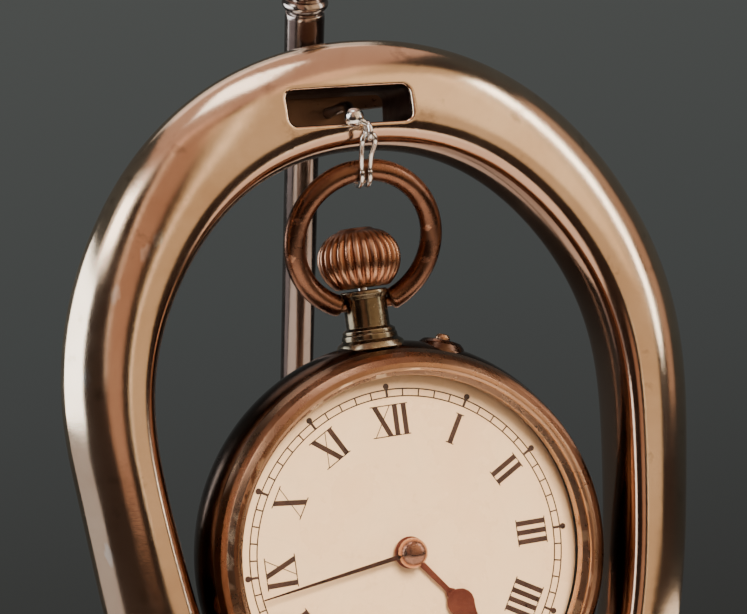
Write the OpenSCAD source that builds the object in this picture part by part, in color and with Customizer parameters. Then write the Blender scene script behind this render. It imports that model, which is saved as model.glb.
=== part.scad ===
// Pocket watch display stand: a stirrup-shaped arch on a tread plate, propped by a rear easel
// strut, with an open-face keyless pocket watch hanging inside the arch from a wire hook.
// Units are millimetres. The origin is the middle of the tread's underside, +Z is up, the
// dial faces -Y, and +X is to the right of someone reading the dial.

/* [Stirrup arch] */
// Half depth of the arch's section, front to back
arch_half_depth = 6; // [5:0.5:6.5]
// Half width of the strap slot in the crown of the arch
slot_half_w = 7.4; // [6.8:0.1:7.6]
// Height of the strap slot
slot_h = 4.2; // [4:0.1:4.4]
// Height of the middle of the slot above the table
slot_z = 90.55; // [90.45:0.05:90.65]
// Offset of the slot's middle from the middle of the arch, to the left
slot_off = 1.1; // [0.9:0.1:1.3]
// Tilt of the slot, right end down, in degrees
slot_tilt = 3; // [2:0.5:4]
// Thickness of the tread plate
tread_t = 4.5; // [4:0.5:5]
// Front to back size of the tread plate
tread_d = 24; // [22:1:26]

/* [Strut] */
// Lean of the rear strut from upright, in degrees
strut_tilt = 30.6; // [29:0.2:32]
// Radius of the strut's rod
rod_r = 2.15; // [2:0.05:2.2]
// Radius of the ferrule around the top of the rod
ferrule_r = 2.45; // [2.4:0.05:2.5]

/* [Watch] */
// Largest radius of the watch case
case_r = 25; // [24.8:0.1:25.2]
// Height of the dial's centre above the table
dial_z = 38; // [37.8:0.1:38.2]
// Radius of the winding crown
crown_r = 5; // [4.6:0.1:5.1]
// Ribs around the winding crown
crown_ribs = 28; // [20:2:32]
// Outer radius of the bow
bow_out_r = 9.8; // [9.6:0.1:9.9]
// Radius of the bow's wire
bow_wire_r = 1.3; // [1.1:0.05:1.35]
// Clockwise angle of the minute hand from twelve
minute_angle = 262; // [0:1:359]
// Clockwise angle of the hour hand from twelve
hour_angle = 141.7; // [0:0.1:359]

/* [Hidden] */
$fn = 48;

// ---- the arch's centreline: a polar curve about a point above the dial ----
arch_c = 61.9;
function rho(f) = 38.1 - 12.3*cos(f) + 6.8*cos(2*f) - 3.4*cos(3*f) + 1.5*cos(4*f) - 0.5*cos(5*f);
function hw(f) = 5.3 + 1.1*cos(f) + 0.1*cos(2*f);
low_x = rho(148)*sin(148);
low_z = arch_c + rho(148)*cos(148);
function branch(s) = [low_x - 6.0*s + 2.2*s*s, low_z - (low_z - 3.4)*s];
function right_point(k) = k <= 37 ? [rho(4*k)*sin(4*k), arch_c + rho(4*k)*cos(4*k)] : branch((k - 37)/6);
function right_width(k) = k <= 37 ? hw(4*k) : hw(148);
n_arch = 43;
// The left branch is a little wider than the right one towards its foot, on the outside only.
function swell(i) = i >= n_arch ? 0 : let(t = min(1, max(0, (n_arch - i - 26)/11))) 0.8*t*t*(3 - 2*t);
function cl(i) = let(k = abs(i - n_arch), p = right_point(k)) [i < n_arch ? -p[0] - swell(i) : p[0], p[1]];
function cl_w(i) = right_width(abs(i - n_arch)) + swell(i);
function unit2(v) = v / norm(v);
function cl_t(i) = unit2(cl(min(i + 1, 2*n_arch)) - cl(max(i - 1, 0)));
sec_n = 22;
// The section bulges to soft ridges front and back that lie towards the inner edge.
function ring(i) = let(p = cl(i), t = cl_t(i), w = cl_w(i), n = [-t[1], t[0]])
  [for (j = [0:sec_n - 1]) let(a = 360*j/sec_n,
    u = w*(cos(a) - 0.4*pow(sin(a), 2)) , v = arch_half_depth*sin(a))
    [p[0] + n[0]*u, v, p[1] + n[1]*u]];

// ---- a round wire swept along points ----
function add3(a, b) = [a[0] + b[0], a[1] + b[1], a[2] + b[2]];
function unit3(v) = v / norm(v);
function tan3(p, i) = unit3(p[min(i + 1, len(p) - 1)] - p[max(i - 1, 0)]);
module tube(p, r, ns = 10, side = [1, 0, 0]) {
  pts = [for (i = [0:len(p) - 1]) let(t = tan3(p, i), b = unit3(cross(t, side)), s = cross(b, t))
    for (j = [0:ns - 1]) p[i] + r*cos(360*j/ns)*s + r*sin(360*j/ns)*b];
  loft(pts, len(p), ns);
}
module loft(pts, m, ns) {
  polyhedron(points = pts, faces = concat(
    [[for (j = [0:ns - 1]) j]],
    [for (i = [0:m - 2], j = [0:ns - 1]) [i*ns + j, (i + 1)*ns + j, (i + 1)*ns + (j + 1)%ns]],
    [for (i = [0:m - 2], j = [0:ns - 1]) [i*ns + j, (i + 1)*ns + (j + 1)%ns, i*ns + (j + 1)%ns]],
    [[for (j = [ns - 1:-1:0]) (m - 1)*ns + j]]), convexity = 6);
}
module along_x(x0, x1, r) translate([x0, 0, 0]) rotate([0, 90, 0]) cylinder(r = r, h = x1 - x0);
module along_y(y0, y1, r) translate([0, y0, 0]) rotate([-90, 0, 0]) cylinder(r = r, h = y1 - y0);

// ---- toothed wheels: slim straight-sided teeth with running backlash ----
function tooth_pts(n, m) = [for (k = [0:n - 1]) let(p = 360/n, ro = m*(n/2 + 0.72), ri = m*(n/2 - 0.95))
  each [[ri*cos(k*p - 0.21*p), ri*sin(k*p - 0.21*p)], [ro*cos(k*p - 0.07*p), ro*sin(k*p - 0.07*p)],
        [ro*cos(k*p + 0.07*p), ro*sin(k*p + 0.07*p)], [ri*cos(k*p + 0.21*p), ri*sin(k*p + 0.21*p)]]];
module gear(n, m, z0, z1, phase) translate([0, 0, z0]) rotate(phase) linear_extrude(z1 - z0) polygon(tooth_pts(n, m));
module disc(r, z0, z1) translate([0, 0, z0]) cylinder(r = r, h = z1 - z0);
module rim_wheel(n, m, z0, z1, phase, rim, spokes, hub) {
  ri = m*(n/2 - 0.95) - rim;
  difference() {
    gear(n, m, z0, z1, phase);
    translate([0, 0, z0 - 1]) difference() {
      cylinder(r = ri, h = 3);
      cylinder(r = hub, h = 3);
      for (k = [0:spokes - 1]) rotate(k*360/spokes) translate([0, -0.3, 0]) cube([ri + 0.2, 0.6, 3]);
    }
  }
}
// Phase that turns a wheel so that a tooth (half = 0) or a gap (half = 1) points along an angle.
function mesh_phase(ang, n, half) = ang + half*180/n;
function ang_of(a, b) = atan2(b[1] - a[1], b[0] - a[0]);
function dist(a, b) = norm(b - a);

// ---- frames ----
// Watch frame: x right, y up, z towards the reader, z = 0 on the face of the dial.
module W() translate([0, -0.8, dial_z]) rotate([90, 0, 0]) children();
stem_z = -3.6;
// Along the pendant: z of the child is distance from the dial's centre.
module P() translate([0, 0, stem_z]) rotate([-90, 0, 0]) children();
piv_y = 2.8;
piv_z = dial_z + 29.5;
bow_lean = 20;
bow_R = bow_out_r - bow_wire_r;
bow_c = [0, piv_y - 8.1*sin(bow_lean), piv_z + 8.1*cos(bow_lean)];
bow_top = [0, bow_c[1] - bow_R*sin(bow_lean), bow_c[2] + bow_R*cos(bow_lean)];
pin_y = 16.77;
pin_z = 94;
// Strut frame: z runs up the rod, z = 0 at the hinge pin.
module S() translate([0, pin_y, pin_z]) rotate([strut_tilt, 0, 0]) children();
foot_r = 3;
foot_s = -(pin_z - foot_r)/cos(strut_tilt);
eye = [0, -7.4, 87.2];

// ---- movement layout, in the watch frame ----
c_bar = [-8.2, 6.5];
c_third = [7.4, -1.9];
c_fourth = [3.0, -6.6];
c_esc = c_fourth + 5.28*[-cos(20), -sin(20)];
c_bal = [-10.2, -7.9];
c_lev = c_esc + 4.6*unit2(c_bal - c_esc);
c_crw = [0.6, 12.2];
c_min = 4.8*[cos(30), -sin(30)];
o2 = [0, 0];
m_bar = dist(o2, c_bar)/41;
m_cen = dist(o2, c_third)/36;
m_thi = dist(c_third, c_fourth)/34;
m_fou = dist(c_fourth, c_esc)/33;
m_rat = dist(c_bar, c_crw)*2/65;
hinge_y = -24.6;
hinge_zf = 1.6;
hinge_zb = -7.2;
set_a = 20;
pillars_b = [[3.6, 18.2], [-18.4, -2.2]];
pillars_t = [[17.4, 5.6], [14.4, -11.6], [1.2, -17.8]];
pillar_c = [-8.3, -16.4];

// ================= stand =================
module stirrup_arch() color("Tan") difference() {
  loft([for (i = [0:2*n_arch]) each ring(i)], 2*n_arch + 1, sec_n);
  // strap slot through the crown, with rounded corners
  translate([-slot_off, 0, slot_z]) rotate([0, slot_tilt, 0]) {
    for (s = [-1, 1]) for (q = [-1, 1])
      translate([s*(slot_half_w - 1), 0, q*(slot_h/2 - 1)]) along_y(-12, 12, 1);
    translate([-slot_half_w + 1, -12, -slot_h/2]) cube([2*slot_half_w - 2, 24, slot_h]);
    translate([-slot_half_w, -12, -slot_h/2 + 1]) cube([2*slot_half_w, 24, slot_h - 2]);
  }
  // flat seat for the bracket behind the crown
  translate([-6.4, 4.2, 93.7]) cube([12.8, 6, 10]);
  for (s = [-1, 1]) translate([s*4.3, 0, 95.8]) along_y(-1, 6, 1);
  // square ends that stand on the tread, tapped for its screws
  translate([-60, -20, -10]) cube([120, 40, 10 + tread_t]);
  for (s = [-1, 1]) translate([s*(low_x - 3.8), 0, tread_t - 1]) cylinder(r = 1.5, h = 8);
}
module tread_plate() color("Tan") difference() {
  union() {
    for (s = [-1, 1]) translate([s*17, 0, 0]) {
      cylinder(r1 = tread_d/2 - 0.6, r2 = tread_d/2, h = 0.6);
      translate([0, 0, 0.6]) cylinder(r = tread_d/2, h = tread_t - 1.8);
      translate([0, 0, tread_t - 1.2]) cylinder(r1 = tread_d/2, r2 = tread_d/2 - 1.2, h = 1.2);
    }
    translate([-17, -tread_d/2, 0.6]) cube([34, tread_d, tread_t - 1.8]);
    translate([-17, -tread_d/2 + 1.2, 0]) cube([34, tread_d - 2.4, tread_t]);
  }
  for (s = [-1, 1]) translate([s*(low_x - 3.8), 0, -1]) {
    cylinder(r = 1.6, h = 8);
    cylinder(r = 3, h = 2.6);
  }
}
module tread_screws() color("Silver") for (s = [-1, 1]) translate([s*(low_x - 3.8), 0, 0]) difference() {
  union() {
    translate([0, 0, 0.3]) cylinder(r = 2.8, h = 1.3);
    translate([0, 0, 1.5]) cylinder(r = 1.45, h = tread_t + 4.5);
  }
  translate([-3, -0.35, 0]) cube([6, 0.7, 0.8]);
}
module strut_bracket() color("Silver") difference() {
  union() {
    translate([-6, 4.2, 93.9]) cube([12, 4.6, 3.9]);
    translate([-6, 6.9, 91]) cube([13.4, 1.9, 3.4]);
    translate([-6, 6.9, 88.8]) cube([8.4, 1.9, 2.4]);
    for (s = [-1, 1]) translate([s*3.55, 0, 0]) {
      translate([-0.8, 6.9, 91.6]) cube([1.6, pin_y - 6.9, 5.6]);
      translate([0, pin_y, pin_z]) along_x(-0.8, 0.8, 3.2);
    }
  }
  translate([0, pin_y, pin_z]) along_x(-6, 6, 1.15);
  for (s = [-1, 1]) translate([s*4.3, 0, 95.8]) { along_y(3, 6.6, 1.05); along_y(6.4, 20, 1.9); }
  translate([0, 0, 90.9]) along_y(6, 10, 0.7);
}
module bracket_screws() color("Silver") for (s = [-1, 1]) translate([s*4.3, 0, 95.8]) difference() {
  union() { along_y(-0.8, 6.6, 0.95); along_y(6.5, 7.9, 1.75); }
  translate([-2, 7.5, -0.25]) cube([4, 1, 0.5]);
}
module hook_stem() color("WhiteSmoke") {
  translate([0, 0, 90.9]) along_y(1.2, 9.4, 0.68);
  tube([[0, 1.3, 90.9], [-0.05, -0.4, 90.87], [-0.3, -2, 90.65], [-0.7, -3.6, 90.2], [-1, -4.9, 89.75],
        [-1.2, -6.1, 89.35], [-1.3, -7, 89]], 0.62, 12);
  // knob that the wire is turned round, and the eye below it
  translate([-1.3, -7, 89]) sphere(r = 1.15, $fn = 32);
  tube([[-1.3, -7, 89], [-0.75, -7.2, 88.6], [-0.05, -7.38, 88.1]], 0.42, 10);
  translate(eye) rotate([0, 90, 0]) rotate_extrude() translate([0.95, 0]) circle(r = 0.3, $fn = 24);
}
module hinge_pin() color("Silver") translate([0, pin_y, pin_z]) { along_x(-4.9, 4.9, 1.1); along_x(-5.5, -4.7, 1.7); along_x(4.7, 5.5, 1.7); }

// ================= strut =================
module strut_rod() color("LightGray") S() difference() {
  disc(rod_r, foot_s + 2, 11.5);
  along_x(-5, 5, 1.15);
}
module strut_ferrule() color("LightGray") S() difference() {
  union() { disc(ferrule_r, -6.5, 11.5); }
  disc(rod_r, -11, 13);
  along_x(-5, 5, 1.15);
}
module strut_collar() color("LightGray") S() rotate_extrude() union() {
  translate([0, 11.5]) square([2.1, 4.6]);
  translate([1.9, 12.6]) circle(r = 0.95, $fn = 32);
  translate([1.9, 14.9]) circle(r = 0.95, $fn = 32);
}
module strut_finial() color("LightGray") S() rotate_extrude() difference() {
  union() {
    translate([0, 16.1]) square([1.5, 3]);
    translate([0, 18.4]) polygon([[0, 0], [1.6, 0], [2.2, 1.2], [2.9, 2.6], [3.1, 4], [2.8, 5.2], [2, 6.1], [1.3, 6.6], [1.3, 7], [0, 7]]);
    translate([0, 26.6]) circle(r = 1.7, $fn = 40);
  }
  translate([-9, 0]) square([9, 60]);
}
module strut_foot() color("DimGray") S() difference() {
  union() { translate([0, 0, foot_s]) sphere(r = foot_r); disc(2.6, foot_s, foot_s + 4.6); }
  disc(rod_r, foot_s + 2, foot_s + 6);
}

// ================= hook and bow =================
jr = bow_wire_r + 0.5;
j_half = [for (b = [165:-15:0]) [0.5, bow_top[1] - jr*cos(b), bow_top[2] - jr*sin(b)]];
link_half = concat(j_half, [[0.6, -5.5, 84.5], [0.75, -6.6, 85.5], [0.78, -7.2, 86.05], [0.7, -7.38, 86.5], [0.42, -7.4, 86.82]]);
n_lh = len(link_half);
module hook_link() color("WhiteSmoke") tube(concat(link_half, [[0, -7.4, 86.92]],
  [for (i = [n_lh - 1:-1:0]) [-link_half[i][0], link_half[i][1], link_half[i][2]]]), 0.3, 8, [0, 1, 0.3]);
module pendant_bow() color("Sienna") {
  difference() {
    translate(bow_c) rotate([bow_lean, 0, 0]) rotate([90, 0, 0]) rotate_extrude() translate([bow_R, 0]) circle(r = bow_wire_r, $fn = 32);
    translate([-2.95, piv_y - 6, piv_z - 6]) cube([5.9, 12, 12 - 3]);
  }
  for (s = [-1, 1]) translate([0, piv_y, piv_z]) along_x(s > 0 ? 1.5 : -3.7, s > 0 ? 3.7 : -1.5, 0.6);
}

// ================= case =================
band_pts = concat([[20.4, -2.2], [21.45, -2.2], [21.45, 0.9], [22.6, 1.15], [23.3, 1.15]],
  [for (a = [60:-10:-60]) [22.0 + (case_r - 22.0)*cos(a)*1.0, -2.9 + 4.2*sin(a)]],
  [[23.3, -6.6], [21.2, -6.6], [21.2, -3.2], [20.4, -3.2]]);
module hinge_knuckle(x0, x1, y, z, r) translate([0, y, z]) along_x(x0, x1, r);
module case_band() color("#4a3328") W() difference() {
  union() {
    rotate_extrude($fn = 96) polygon(band_pts);
    P() rotate_extrude() polygon([[0, 22.4], [3.7, 22.4], [3.7, 25.2], [3.2, 25.7], [3.2, 26.5], [2.6, 26.9], [2.6, 30.3], [2.9, 30.7], [2.9, 31.2], [0, 31.2]]);
    // lug around the setting button
    rotate(-set_a) translate([0, 0, -2.9]) rotate([-90, 0, 0]) translate([0, 0, 22.6]) cylinder(r1 = 3.2, r2 = 2.2, h = 2.9);
    for (s = [-1, 1]) {
      hinge_knuckle(s > 0 ? 1.6 : -3.2, s > 0 ? 3.2 : -1.6, hinge_y, hinge_zf, 0.9);
      translate([s > 0 ? 1.6 : -3.2, hinge_y - 0.1, 0.2]) cube([1.6, 1.5, 0.9]);
      hinge_knuckle(s > 0 ? 3.2 : -4.9, s > 0 ? 4.9 : -3.2, hinge_y, hinge_zb, 0.8);
      translate([s > 0 ? 3.2 : -4.9, hinge_y - 0.3, -6.66]) cube([1.7, 1.6, 0.86]);
    }
  }
  disc(20.4, -9, 4);
  disc(21.2, -9, -3.2);
  disc(21.45, -2.2, 4);
  P() translate([0, 0, 15]) cylinder(r = 0.66, h = 20);
  rotate(-set_a) translate([0, 0, -2.9]) rotate([-90, 0, 0]) translate([0, 0, 18]) cylinder(r = 0.96, h = 12);
  P() translate([0, 0, 29.5]) along_x(-5, 5, 0.65);
  translate([0, hinge_y, hinge_zf]) along_x(-6, 6, 0.5);
  translate([0, hinge_y, hinge_zb]) along_x(-6, 6, 0.5);
  translate([0, hinge_y, hinge_zf]) along_x(-1.6, 1.6, 1.05);
  translate([0, hinge_y, hinge_zb]) along_x(-3.2, 3.2, 0.95);
  translate([-8, -26, -9.5]) cube([16, 2.4, 1.4]);
  // room for the back's rim and the dust cover under the pendant
  translate([-6, 20, -9]) cube([12, 4.6, 2.36]);
}
module bezel_hinge_pin() color("Silver") W() translate([0, hinge_y, hinge_zf]) along_x(-3.2, 3.2, 0.46);
module back_hinge_pin() color("Silver") W() translate([0, hinge_y, hinge_zb]) along_x(-4.9, 4.9, 0.46);
module bezel() color("#b07a58") W() difference() {
  union() {
    rotate_extrude($fn = 96) polygon([[20.8, 1.4], [23.7, 1.4], [23.95, 1.9], [23.5, 3], [22.9, 3.9], [22.2, 4.5], [21.6, 4.6],
      [21.3, 4.35], [21.3, 4.05], [21.6, 3.95], [21.6, 3.0], [20.8, 2.8]]);
    hinge_knuckle(-1.5, 1.5, hinge_y, hinge_zf, 0.9);
  }
  translate([0, hinge_y, hinge_zf]) along_x(-6, 6, 0.5);
  for (s = [-1, 1]) translate([0, hinge_y, hinge_zf]) along_x(s > 0 ? 1.5 : -3.4, s > 0 ? 3.4 : -1.5, 1.1);
}
function dome(r0, z0, h, n) = let(R = (r0*r0 + h*h)/(2*h), am = asin(r0/R))
  [for (i = [0:n]) let(a = am*(1 - i/n)) [R*sin(a), z0 + h - R + R*cos(a)]];
module crystal() color("LightCyan", 0.3) W() rotate_extrude($fn = 96)
  polygon(concat([[21.5, 3.05], [21.5, 3.85], [21.2, 4.0]], dome(20.6, 4.2, 1.5, 16),
    [for (i = [16:-1:0]) dome(20.4, 3.4, 1.5, 16)[i]], [[20.6, 3.05]]));
module back_cover() color("#5a4032") W() difference() {
  union() {
    rotate_extrude($fn = 96) polygon(concat([[23.1, -6.7], [24.0, -6.7], [24.15, -7.0], [23.9, -7.4], [23.2, -7.9], [22, -8.2]],
      [for (i = [0:12]) let(p = dome(21, 8.35, 0.95, 12)[i]) [p[0], -p[1]]],
      [for (i = [12:-1:0]) let(p = dome(21, 7.85, 0.95, 12)[i]) [p[0], -p[1]]], [[22.4, -7.5], [23.1, -7.0]]));
    for (s = [-1, 1]) hinge_knuckle(s > 0 ? 1.3 : -3.1, s > 0 ? 3.1 : -1.3, hinge_y, hinge_zb, 0.8);
  }
  translate([0, hinge_y, hinge_zb]) along_x(-6, 6, 0.5);
  for (s = [-1, 1]) translate([0, hinge_y, hinge_zb]) along_x(s > 0 ? 3.1 : -5.1, s > 0 ? 5.1 : -3.1, 1);
  translate([-1.3, -25.6, -8]) cube([2.6, 3.4, 2]);
}
module inner_cover() color("#c9a06c") W() difference() {
  union() {
    rotate_extrude($fn = 96) polygon([[0, -7.32], [20.6, -7.12], [22.3, -6.85], [22.5, -6.65], [21.4, -6.65], [20.6, -6.85], [0, -7.05]]);
    hinge_knuckle(-1.1, 1.1, hinge_y, hinge_zb, 0.75);
    translate([-1.1, hinge_y, -7.3]) cube([2.2, 3, 0.6]);
  }
  translate([0, hinge_y, hinge_zb]) along_x(-6, 6, 0.5);
}
module winding_crown() color("#96593a") W() P() difference() {
  rotate_extrude() polygon([[0, 31.5], [3.3, 31.5], [3.9, 32], [crown_r - 0.25, 33.6], [crown_r, 34.9], [crown_r - 0.2, 36.2], [4.1, 37.5], [2.9, 38.3], [1.5, 38.65], [0, 38.7]]);
  disc(0.6, 30, 37);
  for (k = [0:crown_ribs - 1]) rotate(k*360/crown_ribs) translate([crown_r + 0.12, 0, 31]) cylinder(r = 0.28, h = 9, $fn = 16);
}
module winding_stem() color("Silver") W() P() { disc(0.6, 14.2, 37); difference() { disc(2.55, 15.4, 16.7);
  for (k = [0:13]) rotate(k*360/14) translate([2.6, -0.2, 16.2]) rotate([0, 0, 0]) translate([-0.7, 0, 0]) cube([2, 0.4, 1]); } }
module setting_button() color("#7a5238") W() rotate(-set_a) translate([0, 0, -2.9]) rotate([-90, 0, 0]) { disc(0.9, 20.2, 26.3); disc(1.3, 19.6, 20.2); }
module button_spring() color("Silver") W() rotate(-set_a) translate([-3.3, 17.9, -3.15]) cube([4.2, 0.45, 0.5]);

// ================= movement =================
module at(p) translate([p[0], p[1], 0]) children();
module main_plate() color("Gold") W() difference() {
  union() { disc(21.3, -2.2, -1.8); disc(20.2, -3.2, -2.2);
    for (p = concat(pillars_b, pillars_t, [pillar_c])) at(p) disc(1.1, -5.2, -3.2); }
  disc(0.5, -4, 0);
  for (c = [c_third, c_fourth, c_esc, c_bal, c_lev, c_min]) at(c) disc(0.2, -3.5, -2.4);
  at(c_min) disc(0.36, -4, 0);
  at(c_bar) disc(0.6, -3.5, -2.4);
  for (p = concat(pillars_b, pillars_t, [pillar_c])) at(p) disc(0.46, -6, -1);
  translate([-2.9, 15.0, -4]) cube([5.8, 2.2, 4]);
  P() translate([0, 0, 13.6]) cylinder(r = 0.72, h = 9);
  rotate(-set_a) translate([-3.3, 17.2, -6]) cube([5, 5, 5]);
  for (a = [75, 195, 315]) rotate(a) translate([17.6, 0, 0]) disc(0.51, -4, 0);
  for (a = [0, 180]) rotate(a) translate([20.2, 0, 0]) disc(0.7, -2.4, 0);
}
module bridge_2d() difference() { circle(r = 20); translate([-2.9, 15]) square([5.8, 2.2]); rotate(-set_a) translate([-3.3, 17.2]) square([5, 5]); }
module barrel_bridge() color("Silver") W() difference() {
  translate([0, 0, -6.3]) linear_extrude(1.1) intersection() { bridge_2d();
    polygon([[-30, -3.8], [-6, -3.8], [-1.6, -2.2], [2.0, -1.4], [3.4, 3.2], [6.2, 30], [-30, 30]]); }
  disc(0.3, -7, -5);
  at(c_bar) disc(0.6, -7, -5);
  at(c_crw) disc(0.51, -7, -5);
  for (p = pillars_b) at(p) disc(0.5, -7, -5);
}
module train_bridge() color("Silver") W() difference() {
  translate([0, 0, -6.3]) linear_extrude(1.1) intersection() { bridge_2d();
    polygon([[2.4, -1.9], [3.8, 3], [6.6, 30], [30, 30], [30, -30], [-4.6, -30], [-4.6, -8.0], [-3, -5]]); }
  for (c = [c_third, c_fourth, c_esc]) at(c) disc(0.2, -7, -5);
  for (p = pillars_t) at(p) disc(0.5, -7, -5);
}
module balance_cock() color("Silver") W() difference() {
  translate([0, 0, -6.3]) linear_extrude(1.1) intersection() { circle(r = 20);
    polygon([[-12.6, -7.6], [-11.2, -5.8], [-8.6, -5.9], [-5.4, -7.6], [-5.4, -30], [-12, -30], [-13.2, -12]]); }
  at(c_bal) disc(0.2, -5.9, -5);
  at(pillar_c) disc(0.5, -7, -5);
}
module bridge_screws() color("SteelBlue") W() for (p = concat(pillars_b, pillars_t, [pillar_c])) at(p) difference() {
  union() { disc(0.9, -6.6, -6.3); disc(0.45, -6.4, -3.4); }
  translate([-1, -0.12, -7]) cube([2, 0.24, 0.6]);
}
module dial() color("Linen") W() { difference() { disc(21.2, -0.8, 0); disc(1.35, -2, 1); }
  for (a = [75, 195, 315]) rotate(a) translate([17.6, 0, 0]) disc(0.5, -2.8, -0.7); }
module case_screws() color("SteelBlue") W() for (a = [0, 180]) rotate(a) translate([20.2, 0, 0]) difference() {
  disc(0.68, -2.18, -1.3); translate([-1, -0.12, -1.5]) cube([2, 0.24, 1]); }

module cannon_pinion() color("Silver") W() difference() {
  union() { gear(12, 0.2, -1.68, -1.4, mesh_phase(-30, 12, 1)); disc(0.78, -1.68, 1.75); }
  disc(0.45, -3, 1.2);
}
module hand_at(a) rotate(-a) children();
module minute_hand() color("#2a1a14") W() hand_at(minute_angle) difference() {
  translate([0, 0, 1.3]) linear_extrude(0.22) union() { circle(r = 1.6);
    polygon([[0.28, 0.2], [0.2, 9], [0.09, 18.6], [0, 18.9], [-0.09, 18.6], [-0.2, 9], [-0.28, 0.2]]); }
  disc(0.78, 0, 3);
}
module centre_cap() color("#c07a50") W() intersection() { translate([0, 0, 1.0]) sphere(r = 2.05); difference() { disc(1.8, 1.52, 3.2); disc(0.78, 1.4, 1.75); } }
module hour_wheel() color("Gold") W() difference() {
  union() { gear(40, 0.192, -1.3, -1.05, mesh_phase(-30, 40, 0)); disc(1.12, -1.3, 0.95); }
  disc(0.84, -2, 2);
}
module hour_hand() color("#5a241a") W() hand_at(hour_angle) difference() {
  translate([0, 0, 0.55]) linear_extrude(0.25) union() { circle(r = 1.9);
    polygon([[0.42, 0.2], [0.32, 7.4], [-0.32, 7.4], [-0.42, 0.2]]);
    translate([0, 8.6]) circle(r = 1.7);
    polygon([[1.3, 9.5], [0.5, 11.2], [0, 12.6], [-0.5, 11.2], [-1.3, 9.5]]);
    polygon([[0.9, 7.3], [-0.9, 7.3], [-0.5, 6.2], [0.5, 6.2]]); }
  disc(1.12, 0, 3);
}
module minute_wheel() color("Gold") W() at(c_min) { gear(36, 0.2, -1.65, -1.43, mesh_phase(150, 36, 0)); gear(10, 0.192, -1.45, -1.0, mesh_phase(150, 10, 1)); disc(0.33, -2.6, -1.1); }
module centre_wheel() color("Gold") W() { rim_wheel(64, m_cen, -4.95, -4.75, mesh_phase(ang_of(o2, c_third), 64, 0), 0.7, 5, 1.5);
  gear(10, m_bar, -4.5, -3.45, mesh_phase(ang_of(o2, c_bar), 10, 1)); disc(0.42, -3.6, 1.15); disc(0.9, -5.1, -4.4); disc(0.28, -5.9, -5); }
module train_arbor(z_lo, z_hi) { disc(0.35, z_lo, z_hi); disc(0.17, z_lo - 0.45, z_lo + 0.1); disc(0.17, z_hi - 0.1, z_hi + 0.45); }
module third_wheel() color("Gold") W() at(c_third) { gear(8, m_cen, -5.08, -4.5, mesh_phase(ang_of(c_third, o2), 8, 1));
  rim_wheel(60, m_thi, -3.8, -3.6, mesh_phase(ang_of(c_third, c_fourth), 60, 0), 0.6, 5, 1.2); train_arbor(-5.12, -3.25); }
module fourth_wheel() color("Gold") W() at(c_fourth) { gear(8, m_thi, -3.95, -3.4, mesh_phase(ang_of(c_fourth, c_third), 8, 1));
  rim_wheel(60, m_fou, -4.5, -4.3, mesh_phase(ang_of(c_fourth, c_esc), 60, 0), 0.55, 5, 1.1); train_arbor(-5.12, -3.25); }
module escape_wheel() color("Gold") W() at(c_esc) { gear(6, m_fou, -4.65, -4.1, mesh_phase(ang_of(c_esc, c_fourth), 6, 1));
  difference() {
    translate([0, 0, -3.85]) linear_extrude(0.22) polygon([for (k = [0:14]) each [[2.5*cos(24*k), 2.5*sin(24*k)], [3.15*cos(24*k + 7), 3.15*sin(24*k + 7)], [3.15*cos(24*k + 9), 3.15*sin(24*k + 9)], [2.5*cos(24*k + 11), 2.5*sin(24*k + 11)]]]);
    difference() { disc(2.1, -4, -3); disc(0.8, -4.1, -2.9); for (k = [0:3]) rotate(90*k) translate([0, -0.25, -4.1]) cube([2.4, 0.5, 1.4]); }
  }
  train_arbor(-5.12, -3.25); disc(0.5, -4.2, -3.7); }
lev_a = ang_of(c_lev, c_bal);
module pallet_lever() color("Silver") W() at(c_lev) rotate(lev_a) {
  translate([0, 0, -3.95]) linear_extrude(0.25) difference() { union() { circle(r = 0.75); translate([0, -0.28]) square([2.5, 0.56]);
      translate([2.2, -0.62]) square([0.75, 1.24]);
      polygon([[0.4, 0], [-0.6, 0.4], [-1.75, -2.2], [-2.95, -3.15], [-2.45, -3.4], [-0.9, -2.3]]);
      polygon([[0.4, 0], [-0.9, 2.3], [-2.45, 3.4], [-2.95, 3.15], [-1.75, 2.2], [-0.6, -0.4]]); }
    translate([2.45, -0.22]) square([1, 0.44]); }
  disc(0.35, -4.45, -3.25); disc(0.17, -3.35, -2.8);
}
module balance_wheel() color("Gold") W() at(c_bal) {
  difference() { disc(5.3, -5.0, -4.6); difference() { disc(4.6, -5.4, -4.2); disc(0.9, -5.5, -4.1); translate([-5, -0.35, -5.5]) cube([10, 0.7, 2]); } }
  disc(0.85, -3.5, -3.36); translate([0.57*cos(lev_a + 180), 0.57*sin(lev_a + 180), 0]) disc(0.1, -4.0, -3.4);
  train_arbor(-5.12, -3.25);
}
module spiral(r0, r1, turns, w, z0, z1) { n = 26*turns; translate([0, 0, z0]) linear_extrude(z1 - z0) polygon(concat(
  [for (i = [0:n]) let(a = 360*turns*i/n, r = r0 + (r1 - r0)*i/n) [(r - w/2)*cos(a), (r - w/2)*sin(a)]],
  [for (i = [n:-1:0]) let(a = 360*turns*i/n, r = r0 + (r1 - r0)*i/n) [(r + w/2)*cos(a), (r + w/2)*sin(a)]])); }
module hairspring() color("SteelBlue") W() at(c_bal) difference() { spiral(0.5, 2.6, 5, 0.12, -4.35, -4.2); disc(0.36, -5, -3); }
module barrel_drum() color("Gold") W() at(c_bar) difference() {
  union() { gear(72, m_bar, -3.95, -3.6, mesh_phase(ang_of(c_bar, o2), 72, 0)); disc(8.6, -4.4, -3.45); }
  disc(8.1, -4.15, -3.65);
  disc(0.64, -6, -3);
}
module mainspring() color("SteelBlue") W() at(c_bar) difference() { spiral(1.6, 7.6, 7, 0.28, -4.1, -3.7); disc(1.3, -5, -3); }
module barrel_arbor() color("Silver") W() at(c_bar) { disc(0.58, -6.75, -2.5); disc(1.2, -4.12, -3.68); }
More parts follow.
